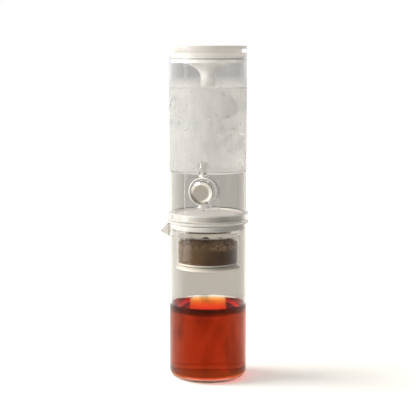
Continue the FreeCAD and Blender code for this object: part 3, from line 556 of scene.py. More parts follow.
def rounded(corners, steps):
    """Round the corners (across, up, radius) of a closed outline with arcs."""
    outline = []
    for index, (across, up, radius) in enumerate(corners):
        here = Vector((across, up))
        if radius == 0:
            outline.append((across, up))
            continue
        before = (Vector(corners[index - 1][:2]) - here).normalized()
        after = (Vector(corners[(index + 1) % len(corners)][:2]) - here).normalized()
        half = before.angle(after) / 2
        centre = here + (before + after).normalized() * (radius / math.sin(half))
        start = here + before * (radius / math.tan(half)) - centre
        stop = here + after * (radius / math.tan(half)) - centre
        bend = math.atan2(start.x * stop.y - start.y * stop.x, start.dot(stop))
        for step in range(steps + 1):
            spot = centre + Matrix.Rotation(bend * step / steps, 2) @ start
            outline.append((max(spot.x, 0), spot.y))
    return outline


def fill_in(outline, gap, bottom, top):
    """Add points to an outline's steep runs between two heights, so that they can bend."""
    dense = []
    for index, (across, up) in enumerate(outline):
        dense.append((across, up))
        next_across, next_up = outline[(index + 1) % len(outline)]
        if abs(next_across - across) > gap or abs(next_up - up) < 2 * gap:
            continue
        count = int(abs(next_up - up) / gap)
        for step in range(1, count):
            level = up + (next_up - up) * step / count
            if bottom < level < top:
                dense.append((across + (next_across - across) * step / count, level))
    return dense


def wetted_edge(wall, level, rise, decay, gap, points):
    """Points of a liquid's surface, which sinks from its wall to its level."""
    outline = []
    for step in range(1, points + 1):
        away = step * gap
        outline.append((wall - away, level + rise * math.exp(-away / decay)))
    return outline


def dress(node, material):
    """Give a CAD node its finish."""
    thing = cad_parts[node]
    thing.data.materials.clear()
    thing.data.materials.append(material)


def carry(piece, body, slot, material, *nodes):
    """Hand a new piece to its CAD body, with its finish and the nodes that it stands for. The slot is not used.
    """
    if material:
        piece.data.materials.clear()
        piece.data.materials.append(material)
    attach(piece, body)
    if nodes:
        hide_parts(*nodes)
    return piece


class GeometryWork(Wiring):
    """A Geometry Nodes tree with named inputs, run once on an object."""

    def __init__(self, name):
        super().__init__(bpy.data.node_groups.new(name, "GeometryNodeTree"))
        self.tree.interface.new_socket("Geometry", in_out="INPUT", socket_type="NodeSocketGeometry")
        self.tree.interface.new_socket("Geometry", in_out="OUTPUT", socket_type="NodeSocketGeometry")
        self.entry = self.tree.nodes.new("NodeGroupInput")
        self.settings = {}

    def entered(self, name, value, kind="NodeSocketFloat"):
        """A named input of the tree, with the value that it is run with."""
        socket = self.tree.interface.new_socket(name, in_out="INPUT", socket_type=kind)
        self.settings[socket.identifier] = value
        return Signal(self, self.entry.outputs[name])

    def geometry(self):
        """The geometry that comes in."""
        return Signal(self, self.entry.outputs["Geometry"])

    def run(self, name, base, geometry, material):
        """End the tree, run it on the base and leave a plain mesh object."""
        real = self.node("GeometryNodeRealizeInstances", sockets={"Geometry": geometry})
        painted = self.node("GeometryNodeSetMaterial", sockets={"Geometry": real, "Material": material})
        self.node("NodeGroupOutput", sockets={"Geometry": painted})
        modifier = base.modifiers.new(name, "NODES")
        modifier.node_group = self.tree
        for identifier, value in self.settings.items():
            modifier[identifier] = value
        evaluated = base.evaluated_get(bpy.context.evaluated_depsgraph_get())
        mesh = bpy.data.meshes.new_from_object(evaluated)
        base.modifiers.remove(modifier)
        bpy.data.objects.remove(base)
        mesh.name = name
        return placed(name, mesh)


class TOWER_OT_carafe(bpy.types.Operator):
    """Blow the carafe: a straight beaker whose rim is drawn out and down into a beak"""

    bl_idname = "tower.carafe"
    bl_label = "Blow the carafe"

    def execute(self, context):
        sizes = context.scene.carafe_settings
        radius = reach("carafe_glass")
        rim = high("carafe_glass")
        bore = radius - sizes.wall
        foot = radius * 0.72
        corners = [
            (0, sizes.base_hollow, 0),
            (foot, 0.0, sizes.foot_round),
            (radius, 0.0, sizes.heel),
            (radius, rim, sizes.rim),
            (bore, rim, sizes.rim),
            (bore, sizes.base, sizes.heel - sizes.wall),
            (0, sizes.base + sizes.base_dome, 0),
        ]
        root = rim - sizes.beak_height
        outline = fill_in(rounded(corners, steps=8), gap=0.0011, bottom=root - 0.003, top=rim)
        glass = turn("carafe_blown_glass", outline, steps=288)
        tip = -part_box("carafe_glass")[0].x
        for vertex in glass.data.vertices:
            vertex.co = self.drawn_out(vertex.co, sizes, root, tip - radius)
        material = clear_finish("Blown carafe glass", sizes.glass_front, self.back_wall, GLASS_IOR,
                                shadow=(0.97, 0.965, 0.955), wave=0.05, smudge=0.0,
                                far_end=(radius, sizes.beak_shade))
        carry(glass, "carafe", "carafe_glass", material, "carafe_glass")
        return {"FINISHED"}

    def back_wall(self, paint):
        """The back wall's tint: grey above the coffee as painted shade, pale behind it."""
        sizes = bpy.context.scene.carafe_settings
        above = paint.rise(paint.along("Z"), high("brewed_coffee"), 0.001)
        return paint.blend(above, sizes.pale_back, sizes.glass_back_shade)

    def drawn_out(self, spot, sizes, root, draw):
        """Move a point of the wall out and down into the beak."""
        if spot.x > 0 or spot.z < root:
            return spot
        narrowing = 0.25
        pinch = 0.35
        rise = min((spot.z - root) / sizes.beak_height, 1)
        half = sizes.beak_half_width * (1 - narrowing * rise)
        across = min(abs(spot.y) / half, 1)
        trough = (1 - across ** 2) ** 1.6
        pull = rise ** 1.25 * trough
        return Vector((spot.x - draw * pull, spot.y * (1 - pinch * pull),
                       spot.z - sizes.beak_drop * rise * trough))


class TOWER_OT_coffee(bpy.types.Operator):
    """Pour the coffee: it wets the carafe's bore and climbs it a little"""

    bl_idname = "tower.coffee"
    bl_label = "Pour the coffee"

    def execute(self, context):
        sizes = context.scene.carafe_settings
        side = reach("carafe_glass") - sizes.wall + sizes.soak
        heel = sizes.heel - sizes.wall
        level = high("brewed_coffee")
        foot = sizes.base - sizes.soak
        outline = rounded([(0, foot, 0), (side, foot, heel), (side, level + sizes.meniscus, 0)], steps=8)
        outline += wetted_edge(side - sizes.soak, level, sizes.meniscus, decay=0.0011, gap=0.0004, points=12)
        outline.append((0, level))
        coffee = turn("coffee_body", outline, steps=224)
        carry(coffee, "carafe", "brewed_coffee", self.brew(sizes, side, level), "brewed_coffee")
        return {"FINISHED"}

    def brew(self, sizes, side, level):
        """Coffee coloured by its depth, with little gloss on top and a skin painted at the wall.

        The skin is painted shade: darker in front, a dark band under the surface, a dark bottom, and streaks of
        painted dark reflection.
        """
        paint = Finish("Brewed coffee")
        ripples = paint.noise(70, 1.5)
        across = paint.along("X")
        deep = paint.along("Y")
        height = paint.along("Z")
        away = paint.math("SQRT", across * across + deep * deep)
        backward = deep / (2 * side) + 0.5
        at_wall = paint.rise(away, side - sizes.skin, 0.0005)
        # Painted shade at the wall: a band under the surface in front and a band at the bottom; the streaks are
        # painted dark reflections.
        under = paint.ramp((height - level + sizes.painted_shade_band) / sizes.painted_shade_band,
                           [(0.0, 0.0), (0.14, 0.8), (0.5, 0.97), (1.0, 0.97)])
        bottom = paint.ramp((height - sizes.base) / sizes.painted_bottom_shade, [(0.0, 0.75), (0.6, 0.6), (1.0, 0.0)])
        front = paint.ramp(backward, [(0.45, 1.0), (0.65, 0.15)])
        streaks = paint.ramp(paint.noise(42, 2, (1, 1, 0.3)), [(0.52, 0.0), (0.70, 0.55)])
        dark = paint.math("MAXIMUM", paint.math("MAXIMUM", under * front, bottom), streaks) * at_wall
        # Painted shade: the skin is toned darker in front.
        before = paint.ramp(backward, [(0.40, 1.0), (0.60, 0.0)]) * at_wall
        front_shaded = paint.blend(before, (1, 1, 1), sizes.painted_front_shade)
        shade = paint.blend(dark, front_shaded, (0.0, 0.0, 0.0))
        skin = paint.bump(ripples, 0.05, 0.0004)
        glossy = paint.principled(Base_Color=shade, Roughness=0.0, IOR=COFFEE_IOR, Transmission_Weight=1.0,
                                  Specular_Tint=(0.15, 0.15, 0.15, 1), Normal=skin)
        still = paint.node("ShaderNodeBsdfRefraction", sockets={
            "Color": (1, 1, 1, 1), "Roughness": 0.0, "IOR": COFFEE_IOR, "Normal": skin})
        surface = paint.node("ShaderNodeMixShader", sockets={0: (1 - at_wall) * 0.85, 1: glossy, 2: still})
        volume = paint.node("ShaderNodeVolumeAbsorption", sockets={
            "Color": (*sizes.coffee_tint, 1), "Density": sizes.coffee_density})
        return paint.finish(paint.lamp_clear(surface, (0.32, 0.24, 0.17)), volume)


class TOWER_OT_chamber(bpy.types.Operator):
    """Finish the clear brew chamber with its seat ring and gasket"""

    bl_idname = "tower.chamber"
    bl_label = "Finish the brew chamber"

    def execute(self, context):
        colours = context.scene.brew_settings
        dress("chamber_cup", clear_finish("Clear chamber plastic", colours.cup_tint, colours.cup_tint,
                                          PLASTIC_IOR, shadow=(0.97, 0.97, 0.965), wave=0.02, painted_highlight=self.rim_highlights))
        silicone = silicone_finish("Clear silicone", colours.silicone)
        dress("chamber_seat_ring", silicone)
        dress("collar_gasket", silicone)
        return {"FINISHED"}

    def rim_highlights(self, paint):
        """Painted highlights where the collar's two rims catch the light."""
        highlight_level = 0.6
        lip = 0.0012
        flange = 0.003
        height = paint.along("Z")
        upper = paint.ramp((height - (high("chamber_cup") - lip)) / (lip / 2), [(0.0, 0.0), (1.0, highlight_level)])
        lower = paint.ramp((height - high("carafe_glass")) / flange,
                           [(0.0, 0.0), (0.2, highlight_level), (0.7, highlight_level), (1.0, 0.0)])
        return paint.math("MAXIMUM", upper, lower)


class TOWER_OT_filter(bpy.types.Operator):
    """Weave the filter's mesh and finish its frame"""

    bl_idname = "tower.filter"
    bl_label = "Weave the filter"

    def execute(self, context):
        sizes = context.scene.brew_settings
        dress("filter_frame", moulded_finish("White filter frame", sizes.frame_plastic))
        dress("filter_ring", rubber_finish("Filter ring rubber", sizes.ring_rubber))
        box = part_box("filter_mesh")
        self.weave(sizes, box[1].x, (box[0].z + box[1].z) / 2)
        return {"FINISHED"}

    def weave(self, sizes, radius, level):
        """Cross two sets of wires, each as long as the round disc is wide there."""
        base = placed("weave_base", bpy.data.meshes.new("weave_base"))
        work = GeometryWork("Filter weave")
        pitch = work.entered("Wire pitch", sizes.wire_pitch)
        thick = work.entered("Wire radius", sizes.wire_radius)
        disc = work.entered("Disc radius", radius - sizes.wire_radius * 2)
        height = work.entered("Height", level)
        count = int(2 * radius / sizes.wire_pitch) - 1
        apart = 0.8
        sets = []
        for turned in (0, math.pi / 2):
            row = work.node("GeometryNodeMeshLine", {"mode": "OFFSET"}, {
                "Count": count,
                "Start Location": work.vector(pitch * (-(count - 1) / 2), 0, 0),
                "Offset": work.vector(pitch, 0, 0),
            })
            along = work.node("GeometryNodeInputPosition")
            across = work.node("ShaderNodeSeparateXYZ", sockets={"Vector": along}, output="X")
            inside = work.math("MAXIMUM", disc * disc - across * across, 1e-8)
            half = work.math("SQRT", inside)
            wire = work.node("GeometryNodeMeshCylinder", {"fill_type": "NGON"}, {
                "Vertices": 6, "Radius": thick, "Depth": 2.0})
            laid = work.node("GeometryNodeTransform", sockets={
                "Geometry": wire, "Rotation": (math.pi / 2, 0, 0)})
            placed_wires = work.node("GeometryNodeInstanceOnPoints", sockets={
                "Points": row, "Instance": laid, "Scale": work.vector(1, half, 1)})
            lift = apart if turned else -apart
            sets.append(work.node("GeometryNodeTransform", sockets={
                "Geometry": placed_wires,
                "Rotation": (0, 0, turned),
                "Translation": work.vector(0, 0, height + thick * lift),
            }))
        joined = work.node("GeometryNodeJoinGeometry")
        for wires in sets:
            work.tree.links.new(wires.socket, joined.socket.node.inputs[0])
        steel = steel_finish("Woven steel mesh", sizes.mesh_steel)
        mesh = work.run("filter_weave", base, joined, steel)
        carry(mesh, "filter", "steel_mesh", None, "filter_mesh")


class TOWER_OT_grounds(bpy.types.Operator):
    """Fill the filter with a rough bed of ground coffee and strew loose grains over it"""

    bl_idname = "tower.grounds"
    bl_label = "Fill in the grounds"

    def execute(self, context):
        sizes = context.scene.brew_settings
        bed = self.heap()
        grains = self.strew(bed, sizes)
        paint = self.finish_of_grounds(sizes)
        carry(bed, "filter", "coffee_grounds", paint, "coffee_grounds")
        carry(grains, "filter", "coffee_grounds", paint)
        return {"FINISHED"}

    def heap(self):
        """Shape the bed on the CAD bed's own sizes, with an uneven top."""
        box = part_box("coffee_grounds")
        side = box[1].x
        crown = box[1].z
        edge = crown - 0.0048
        step_up = high("filter_frame") + 0.0003
        inner = side - 0.0015
        stirred = 0.006
        dune_height = 0.0060
        settling = 0.0026
        side_rows = 26
        top_rings = 40
        outline = [(0, box[0].z), (inner, box[0].z), (inner, step_up), (side, step_up)]
        for row in range(1, side_rows + 1):
            outline.append((side, step_up + (edge - step_up) * row / side_rows))
        for ring in range(1, top_rings):
            across = side * (1 - ring / top_rings)
            outline.append((across, edge + (crown - edge) * (1 - (across / side) ** 2)))
        outline.append((0, crown))
        bed = turn("grounds_bed", outline, steps=256)
        for vertex in bed.data.vertices:
            spot = vertex.co
            rough = noise.noise(spot * 900) * 0.00035 + noise.noise(spot * 260) * 0.0009
            if spot.z > edge - stirred:
                top = min((spot.z - edge + stirred) / stirred, 1)
                dune = noise.noise(Vector((spot.x, spot.y, 0)) * 105 + Vector((3, 1, 5)))
                spot.z += top * (dune * dune_height + rough * 2 - settling)
            inward = 1 - max(0, rough) / side - 0.00015 / side
            if spot.z > step_up + 0.0002:
                spot.x *= inward
                spot.y *= inward
        return bed

    def strew(self, bed, sizes):
        """Scatter grains over the top and the side of the bed."""
        base = placed("grain_base", bed.data.copy())
        work = GeometryWork("Loose grains")
        strewn_area = 0.0058
        size = work.entered("Grain size", sizes.grain_size)
        level = work.entered("Lowest grain", high("coffee_grounds") - 0.0085)
        count = work.entered("Grains per square metre", sizes.grain_count / strewn_area)
        where = work.node("ShaderNodeSeparateXYZ", sockets={
            "Vector": work.node("GeometryNodeInputPosition")}, output="Z")
        upper = work.node("FunctionNodeCompare", {"operation": "GREATER_THAN"}, {0: where, 1: level})
        points = work.node("GeometryNodeDistributePointsOnFaces", sockets={
            "Mesh": work.geometry(), "Selection": upper, "Density": count, "Seed": 4})
        grain = work.node("GeometryNodeMeshIcoSphere", sockets={"Radius": 0.5, "Subdivisions": 1})
        spread = work.node("FunctionNodeRandomValue", {"data_type": "FLOAT"},
                           {"Min": 0.45, "Max": 1.25, "Seed": 7}, output=1)
        spin = work.node("FunctionNodeRandomValue", {"data_type": "FLOAT_VECTOR"},
                         {0: (0, 0, 0), 1: (6.28, 6.28, 6.28), "Seed": 9})
        scattered = work.node("GeometryNodeInstanceOnPoints", sockets={
            "Points": points, "Instance": grain, "Rotation": spin,
            "Scale": work.vector(size * spread, size * spread * 0.8, size * spread * 0.6)})
        return work.run("grounds_grains", base, scattered, None)

    def finish_of_grounds(self, sizes):
        """Wet brown coffee with paler chaff, and dry clumps near the top on the right."""
        paint = Finish("Ground coffee")
        crumbs = paint.cells(900)
        clouds = paint.noise(60, 4)
        fine = paint.noise(1500, 3)
        chaff = paint.ramp(fine, [(0.56, 0.0), (0.70, 1.0)])
        patch = paint.ramp(clouds, [(0.48, 0.12), (0.66, 0.9)])
        lit_grounds = tuple(level * 1.7 for level in sizes.dark_grounds)
        brown = paint.blend(crumbs * 1.2, sizes.dark_grounds, lit_grounds)
        near_top = paint.rise(paint.along("Z"), high("coffee_grounds") - 0.014, 0.006)
        on_right = paint.ramp((paint.along("X") - 0.004) / 0.012, [(0.0, 0.2), (1.0, 1.0)])
        crumbly = paint.ramp(paint.noise(330, 3), [(0.40, 0.0), (0.56, 1.0)])
        clump = near_top * on_right * crumbly * 0.9
        mixed = paint.blend(chaff * patch, brown, sizes.light_grounds)
        surface = paint.principled(
            Base_Color=paint.blend(clump, mixed, paint.blend(fine, sizes.light_grounds, sizes.dry_grounds)),
            Roughness=fine * 0.3 + 0.6,
            Specular_IOR_Level=0.3,
            Normal=paint.bump(fine + crumbs, 0.6, 0.0005),
        )
        return paint.finish(surface)


class TOWER_OT_spreader(bpy.types.Operator):
    """Finish the pale tray that spreads the drips"""

    bl_idname = "tower.spreader"
    bl_label = "Finish the spreader"

    def execute(self, context):
        pale = context.scene.brew_settings.spreader_plastic
        dress("spreader_plate", moulded_finish("Pale spreader plastic", pale, roughness=0.3))
        return {"FINISHED"}


class TOWER_OT_tank(bpy.types.Operator):
    """Finish the clear tank, mist its wall and set droplets on it"""

    bl_idname = "tower.tank"
    bl_label = "Finish and mist the tank"

    def execute(self, context):
        sizes = context.scene.tank_settings
        dress("tank_shell", clear_finish("Clear tank plastic", sizes.tank_front, self.back_wall, PLASTIC_IOR,
                                         shadow=(0.96, 0.955, 0.945), wave=0.05, faint=self.window_rim))
        self.mist(sizes)
        self.droplets(sizes)
        return {"FINISHED"}

    def back_wall(self, paint):
        """The back wall's tint: grey behind the valve and the lid as painted shade, pale behind the water."""
        sizes = bpy.context.scene.tank_settings
        height = paint.along("Z")
        fade = 0.012
        foot = paint.rise(height, low("ice_water"), 0.001)
        top = paint.rise(height, sizes.fog_top - fade, fade)
        return paint.blend(top, paint.blend(foot, sizes.valve_back_shade, sizes.water_back), sizes.lid_back_shade)

    def window_rim(self, paint):
        """The polished rim of the finger window, which is painted so faint that it hardly shows."""
        sizes = bpy.context.scene.tank_settings
        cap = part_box("knob_cap")
        sill = (cap[0].z + cap[1].z) / 2 - sizes.window_drop
        sharp = 0.0002
        across = paint.math("ABSOLUTE", paint.along("X"))
        height = paint.along("Z")
        inside = paint.fall(across, sizes.window_half_width + 0.0006, sharp)
        above = paint.rise(height, sill - 0.0005, sharp)
        below = paint.fall(height, sill + sizes.window_height + 0.0004, sharp)
        front = paint.fall(paint.along("Y"), -sizes.window_depth, sharp)
        return inside * above * below * front

    def mist(self, sizes):
        """Lay a thin skin of condensation on the wall round the water, with a wandering upper edge."""
        radius = reach("tank_shell")
        foot = low("ice_water") - 0.001
        rows = 60
        levels = [foot + (sizes.fog_top - foot) * row / rows for row in range(rows + 1)]
        inner = radius + sizes.film * 0.4
        outer = inner + sizes.film
        outline = [(outer, level) for level in levels] + [(inner, level) for level in reversed(levels)]
        skin = turn("tank_condensation", outline, steps=224)
        for vertex in skin.data.vertices:
            spot = vertex.co
            height = (spot.z - foot) / (sizes.fog_top - foot)
            around = Vector((spot.x, spot.y, 0)).normalized() * 2.2
            wander = noise.noise(around) + 0.4 * noise.noise(around * 3.1)
            spot.z += wander * sizes.fog_wave * height ** 3
        carry(skin, "tank", "ice_water", self.mist_finish(sizes))

    def mist_finish(self, sizes):
        """Fine mist that hides what is behind it: thinner in patches and runs, with painted light that makes it
        lighter to the right.
        """
        paint = Finish("Condensation mist")
        clouds = paint.noise(28, 4)
        runs = paint.noise(160, 2, (1, 1, 0.06))
        beads = paint.noise(3200, 2)
        height = paint.along("Z")
        water_line = high("ice_water")
        thinning = paint.ramp((height - water_line) / (sizes.fog_top - water_line),
                              [(0.0, 1.0), (0.10, 0.85), (0.60, 0.6), (1.0, 0.0)])
        cover = (clouds * 0.22 + runs * 0.10 + (sizes.fog_cover - 0.16)) * thinning
        # Painted light: the mist is darker on the left and lighter to the right.
        painted_light_across = paint.along("X") * (0.5 / CAD_BOX[1].x) + 0.5
        dimmer = tuple(level * 0.82 for level in sizes.fog_colour)
        surface = paint.principled(
            Base_Color=paint.blend(paint.ramp(painted_light_across + (clouds - 0.5) * 0.3, [(0.15, 0.0), (0.7, 1.0)]),
                                   dimmer, sizes.fog_colour),
            Roughness=0.5,
            Specular_IOR_Level=0.35,
            Alpha=cover,
            Normal=paint.bump(beads, 0.35, 0.0001),
        )
        return paint.finish(paint.lamp_clear(surface, (0.9, 0.9, 0.9)))

    def droplets(self, sizes):
        """Set flat droplets on the misted wall, in loose clusters."""
        radius = reach("tank_shell") + sizes.film * 1.4
        foot = low("ice_water") + 0.004
        steps_up = 48
        tallest = sizes.fog_top - 0.012 - foot
        rows = [foot + tallest * row / steps_up for row in range(steps_up + 1)]
        outline = [(radius, row) for row in rows] + [(radius - 0.00001, row) for row in reversed(rows)]
        base = turn("droplet_base", outline, steps=96)
        misted_area = 0.012
        crowding = 2.4
        work = GeometryWork("Tank droplets")
        size = work.entered("Drop size", sizes.drop_size)
        density = work.entered("Drops per square metre", sizes.drop_count / misted_area)
        outward = work.node("GeometryNodeInputNormal")
        where = work.node("GeometryNodeInputPosition")
        radial = work.node("ShaderNodeVectorMath", {"operation": "DOT_PRODUCT"}, {0: outward, 1: where},
                           output="Value")
        facing = work.node("FunctionNodeCompare", {"operation": "GREATER_THAN"}, {0: radial, 1: 0.01})
        crowded = 0.12
        for centre in (sizes.left_cluster, sizes.right_cluster):
            away = work.node("ShaderNodeVectorMath", {"operation": "DISTANCE"}, {0: where, 1: tuple(centre)},
                             output="Value")
            crowded = work.math("MAXIMUM", crowding - away * (crowding / sizes.cluster_reach), crowded)
        points = work.node("GeometryNodeDistributePointsOnFaces", sockets={
            "Mesh": work.geometry(), "Selection": facing, "Density": density * crowded, "Seed": 12})
        drop = work.node("GeometryNodeMeshUVSphere", sockets={"Segments": 10, "Rings": 7, "Radius": 1.0})
        spread = work.node("FunctionNodeRandomValue", {"data_type": "FLOAT"},
                           {"Min": 0.35, "Max": 1.0, "Seed": 5}, output=1)
        width = size * (spread * spread + 0.35)
        scattered = work.node("GeometryNodeInstanceOnPoints", sockets={
            "Points": points, "Instance": drop, "Rotation": points.output("Rotation"),
            "Scale": work.vector(width, width * 1.25, width * 0.42)})
        # Painted shade: the droplets' water is tinted dark grey so that they look dark.
        water = water_finish("Droplet water", (0.36, 0.35, 0.34), shadow=(0.9, 0.9, 0.9))
        beads = work.run("tank_droplets", base, scattered, water)
        carry(beads, "tank", "ice_water", None)


class TOWER_OT_ice_water(bpy.types.Operator):
    """Fill the tank with water and blocks of ice"""

    bl_idname = "tower.ice_water"
    bl_label = "Fill the tank"

    def execute(self, context):
        sizes = context.scene.tank_settings
        soak = context.scene.carafe_settings.soak
        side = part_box("ice_water")[1].x + 0.00015 + soak
        foot = low("ice_water") + 0.0001
        level = high("ice_water")
        corner = 0.0018
        outline = rounded([(0, foot, 0), (side, foot, corner), (side, level + sizes.water_rise, 0)], steps=6)
        outline += wetted_edge(side - soak, level, sizes.water_rise, decay=0.001, gap=0.0005, points=8)
        outline.append((0, level))
        water = turn("ice_water_body", outline, steps=160)
        finish = water_finish("Ice water", (1, 1, 1), shadow=(0.93, 0.93, 0.93), ripple=0.06)
        carry(water, "tank", "ice_water", finish, "ice_water")
        carry(self.blocks(sizes, foot, level), "tank", "ice_water", self.ice_finish())
        return {"FINISHED"}

    def blocks(self, sizes, foot, level):
        """Pack rounded blocks of ice against the water's surface and below it."""
        draw = random.Random(21)
        most_tries = 4000
        lowest = foot + 0.030
        tallest = level - foot - 0.042
        skin = bmesh.new()
        spots = []
        tries = 0
        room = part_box("ice_water")[1].x - sizes.ice_size * 0.62
        while len(spots) < sizes.ice_count and tries < most_tries:
            tries += 1
            away = room * math.sqrt(draw.random())
            turned = draw.random() * 2 * math.pi
            height = lowest + tallest * draw.random() ** 0.7
            spot = Vector((away * math.cos(turned), away * math.sin(turned), height))
            if all((spot - other).length > sizes.ice_size * 0.98 for other in spots):
                spots.append(spot)
        for spot in spots:
            edge = sizes.ice_size * (0.78 + 0.2 * draw.random())
            spin = Matrix.Rotation(draw.random() * 3, 4, "X") @ Matrix.Rotation(draw.random() * 3, 4, "Z")
            made = bmesh.ops.create_cube(skin, size=edge, matrix=Matrix.Translation(spot) @ spin)
            edges = list({edge_of for corner in made["verts"] for edge_of in corner.link_edges})
            bmesh.ops.bevel(skin, geom=edges, offset=edge * 0.28, segments=4, profile=0.55, affect="EDGES")
        for corner in skin.verts:
            corner.co += noise.noise_vector(corner.co * 70) * 0.0012
        mesh = bpy.data.meshes.new("ice_blocks")
        skin.to_mesh(mesh)
        skin.free()
        return placed("ice_blocks", mesh)

    def ice_finish(self):
        """Clear ice with milky hearts."""
        paint = Finish("Block ice")
        veins = paint.noise(140, 4)
        milk = paint.ramp(veins, [(0.45, 0.0), (0.75, 0.5)])
        surface = paint.principled(
            Base_Color=paint.blend(milk, (0.97, 0.975, 0.98), (0.86, 0.88, 0.9)),
            Roughness=milk * 0.5 + 0.03,
            IOR=1.09,
            Transmission_Weight=0.92,
            Normal=paint.bump(veins, 0.25, 0.001),
        )
        return paint.finish(paint.lamp_clear(surface, (0.9, 0.9, 0.9)))


class TOWER_OT_valve(bpy.types.Operator):
    """Finish the drip valve's clear body and what works inside it"""

    bl_idname = "tower.valve"
    bl_label = "Finish the drip valve"

    def execute(self, context):
        sizes = context.scene.valve_settings
        dress("valve_body", clear_finish("Clear valve plastic", sizes.valve_tint, sizes.valve_tint, PLASTIC_IOR,
                                         shadow=(0.9, 0.9, 0.89), wave=0.03, gloss=0.5, painted_highlight=self.rim_highlights))
        white = moulded_finish("White valve plastic", sizes.white_plastic, roughness=0.3)
        for node in ("valve_rotor", "gland_nut"):
            dress(node, white)
        clear = clear_finish("Clear fitting plastic", sizes.valve_tint, sizes.valve_tint, PLASTIC_IOR,
                             shadow=(0.97, 0.97, 0.965), wave=0.03, gloss=0.3)
        for node in ("drip_nozzle", "inlet_nut"):
            dress(node, clear)
        dress("inlet_seal", silicone_finish("Seal silicone", sizes.seal_silicone))
        rubber = rubber_finish("Valve ring rubber", sizes.ring_rubber)
        for node in ("rotor_ring_back", "rotor_ring_front"):
            dress(node, rubber)
        dress("inlet_strainer", steel_finish("Strainer steel", sizes.strainer_steel))
        self.hanging_drop(sizes)
        return {"FINISHED"}

    def rim_highlights(self, paint):
        """Painted highlights where the drum's rim and its neck catch the light."""
        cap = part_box("knob_cap")
        centre = (cap[0] + cap[1]) / 2
        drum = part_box("valve_body")
        radius = (drum[1].x - drum[0].x) / 2
        rim_depth = 0.0035
        across = paint.along("X") - centre.x
        up = paint.along("Z") - centre.z
        away = paint.math("SQRT", across * across + up * up)
        front = paint.rise(paint.along("Y") * -1, -drum[0].y - rim_depth, 0.001)
        ring = paint.ramp(away / radius, [(0.90, 0.0), (0.94, 0.85), (1.0, 0.85)])
        neck = paint.ramp((up - radius * 0.98) / 0.001, [(0.0, 0.0), (1.0, 0.55)])
        return paint.math("MAXIMUM", ring * front, neck)

    def hanging_drop(self, sizes):
        """Hang a drop of water from the nozzle's tip."""
        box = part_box("drip_nozzle")
        centre = (box[0] + box[1]) / 2
        radius = sizes.drop_radius
        steps = 12
        outline = [(0, -radius * 1.9)]
        for step in range(1, steps):
            bend = math.pi * step / steps
            neck = 1 - 0.45 * (step / steps) ** 2
            outline.append((radius * math.sin(bend) * neck, -radius * (0.9 + math.cos(bend))))
        outline.append((0, 0.0004))
        drop = turn("nozzle_drop", outline, steps=32)
        for vertex in drop.data.vertices:
            vertex.co += Vector((centre.x, centre.y, box[0].z + 0.0002))
        water = water_finish("Hanging drop water", (0.98, 0.98, 0.98), shadow=(0.9, 0.9, 0.9))
        carry(drop, "tank", "ice_water", water)


class TOWER_OT_knob(bpy.types.Operator):
    """Brush the knob's metal face and polish its bevel"""

    bl_idname = "tower.knob"
    bl_label = "Finish the knob"

    def execute(self, context):
        sizes = context.scene.valve_settings
        dress("knob_cap", self.brushed(sizes))
        dress("knob_core", moulded_finish("Grey knob core", sizes.core_plastic, roughness=0.45))
        dress("knob_screw", steel_finish("Screw steel", sizes.screw_steel))
        return {"FINISHED"}

    def brushed(self, sizes):
        """Fine circular brushing on the face, and a bevel with painted highlights and a painted shade crescent
        at its lower left.
        """
        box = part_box("knob_cap")
        centre = (box[0] + box[1]) / 2
        radius = (box[1].x - box[0].x) / 2
        paint = Finish("Brushed knob steel")
        across = paint.along("X") - centre.x
        up = paint.along("Z") - centre.z
        away = paint.math("SQRT", across * across + up * up)
        lines = paint.node("ShaderNodeTexNoise", {"noise_dimensions": "1D"}, {"W": away * 9000, "Scale": 1.0})
        clouds = paint.noise(260, 3)
        bevel = paint.rise(away, radius - sizes.bevel_width, 0.0016)
        # Painted light on the bevel: highlights at the upper left and lower right, shade in a crescent at the
        # lower left.
        painted_light_slope = (across - up) * (0.35 / radius) + 0.5
        painted_shade_side = paint.ramp((across + up) * (0.35 / radius) + 0.5, [(0.10, 1.0), (0.34, 0.0)])
        edge = paint.ramp(painted_light_slope, [
            (0.05, (0.80, 0.76, 0.66)), (0.55, (0.62, 0.58, 0.52)), (0.95, (0.9, 0.88, 0.84))])
        edge = paint.blend(painted_shade_side, edge, sizes.bevel_shade)
        face = paint.blend(lines, tuple(level * 0.86 for level in sizes.knob_steel), sizes.knob_steel)
        surface = paint.principled(
            Base_Color=paint.blend(bevel, face, edge),
            Roughness=(lines * 0.12 + clouds * 0.08 + 0.30) * (1 - bevel) + bevel * 0.10,
            Metallic=1.0,
            Normal=paint.bump(lines, 0.10, 0.00004),
        )
        return paint.finish(surface)


class TOWER_OT_lid(bpy.types.Operator):
    """Finish the white lid, its trumpet funnel and its cap"""

    bl_idname = "tower.lid"
    bl_label = "Finish the lid"

    def execute(self, context):
        colours = context.scene.lid_settings
        dress("lid_funnel", moulded_finish("White lid plastic", colours.white, painted_glow=colours.painted_glow))
        dress("lid_cap", moulded_finish("White cap plastic", colours.white, roughness=0.3))
        silicone = silicone_finish("Lid ring silicone", colours.ring_silicone)
        dress("lid_ring", silicone)
        dress("cap_ring", silicone)
        return {"FINISHED"}


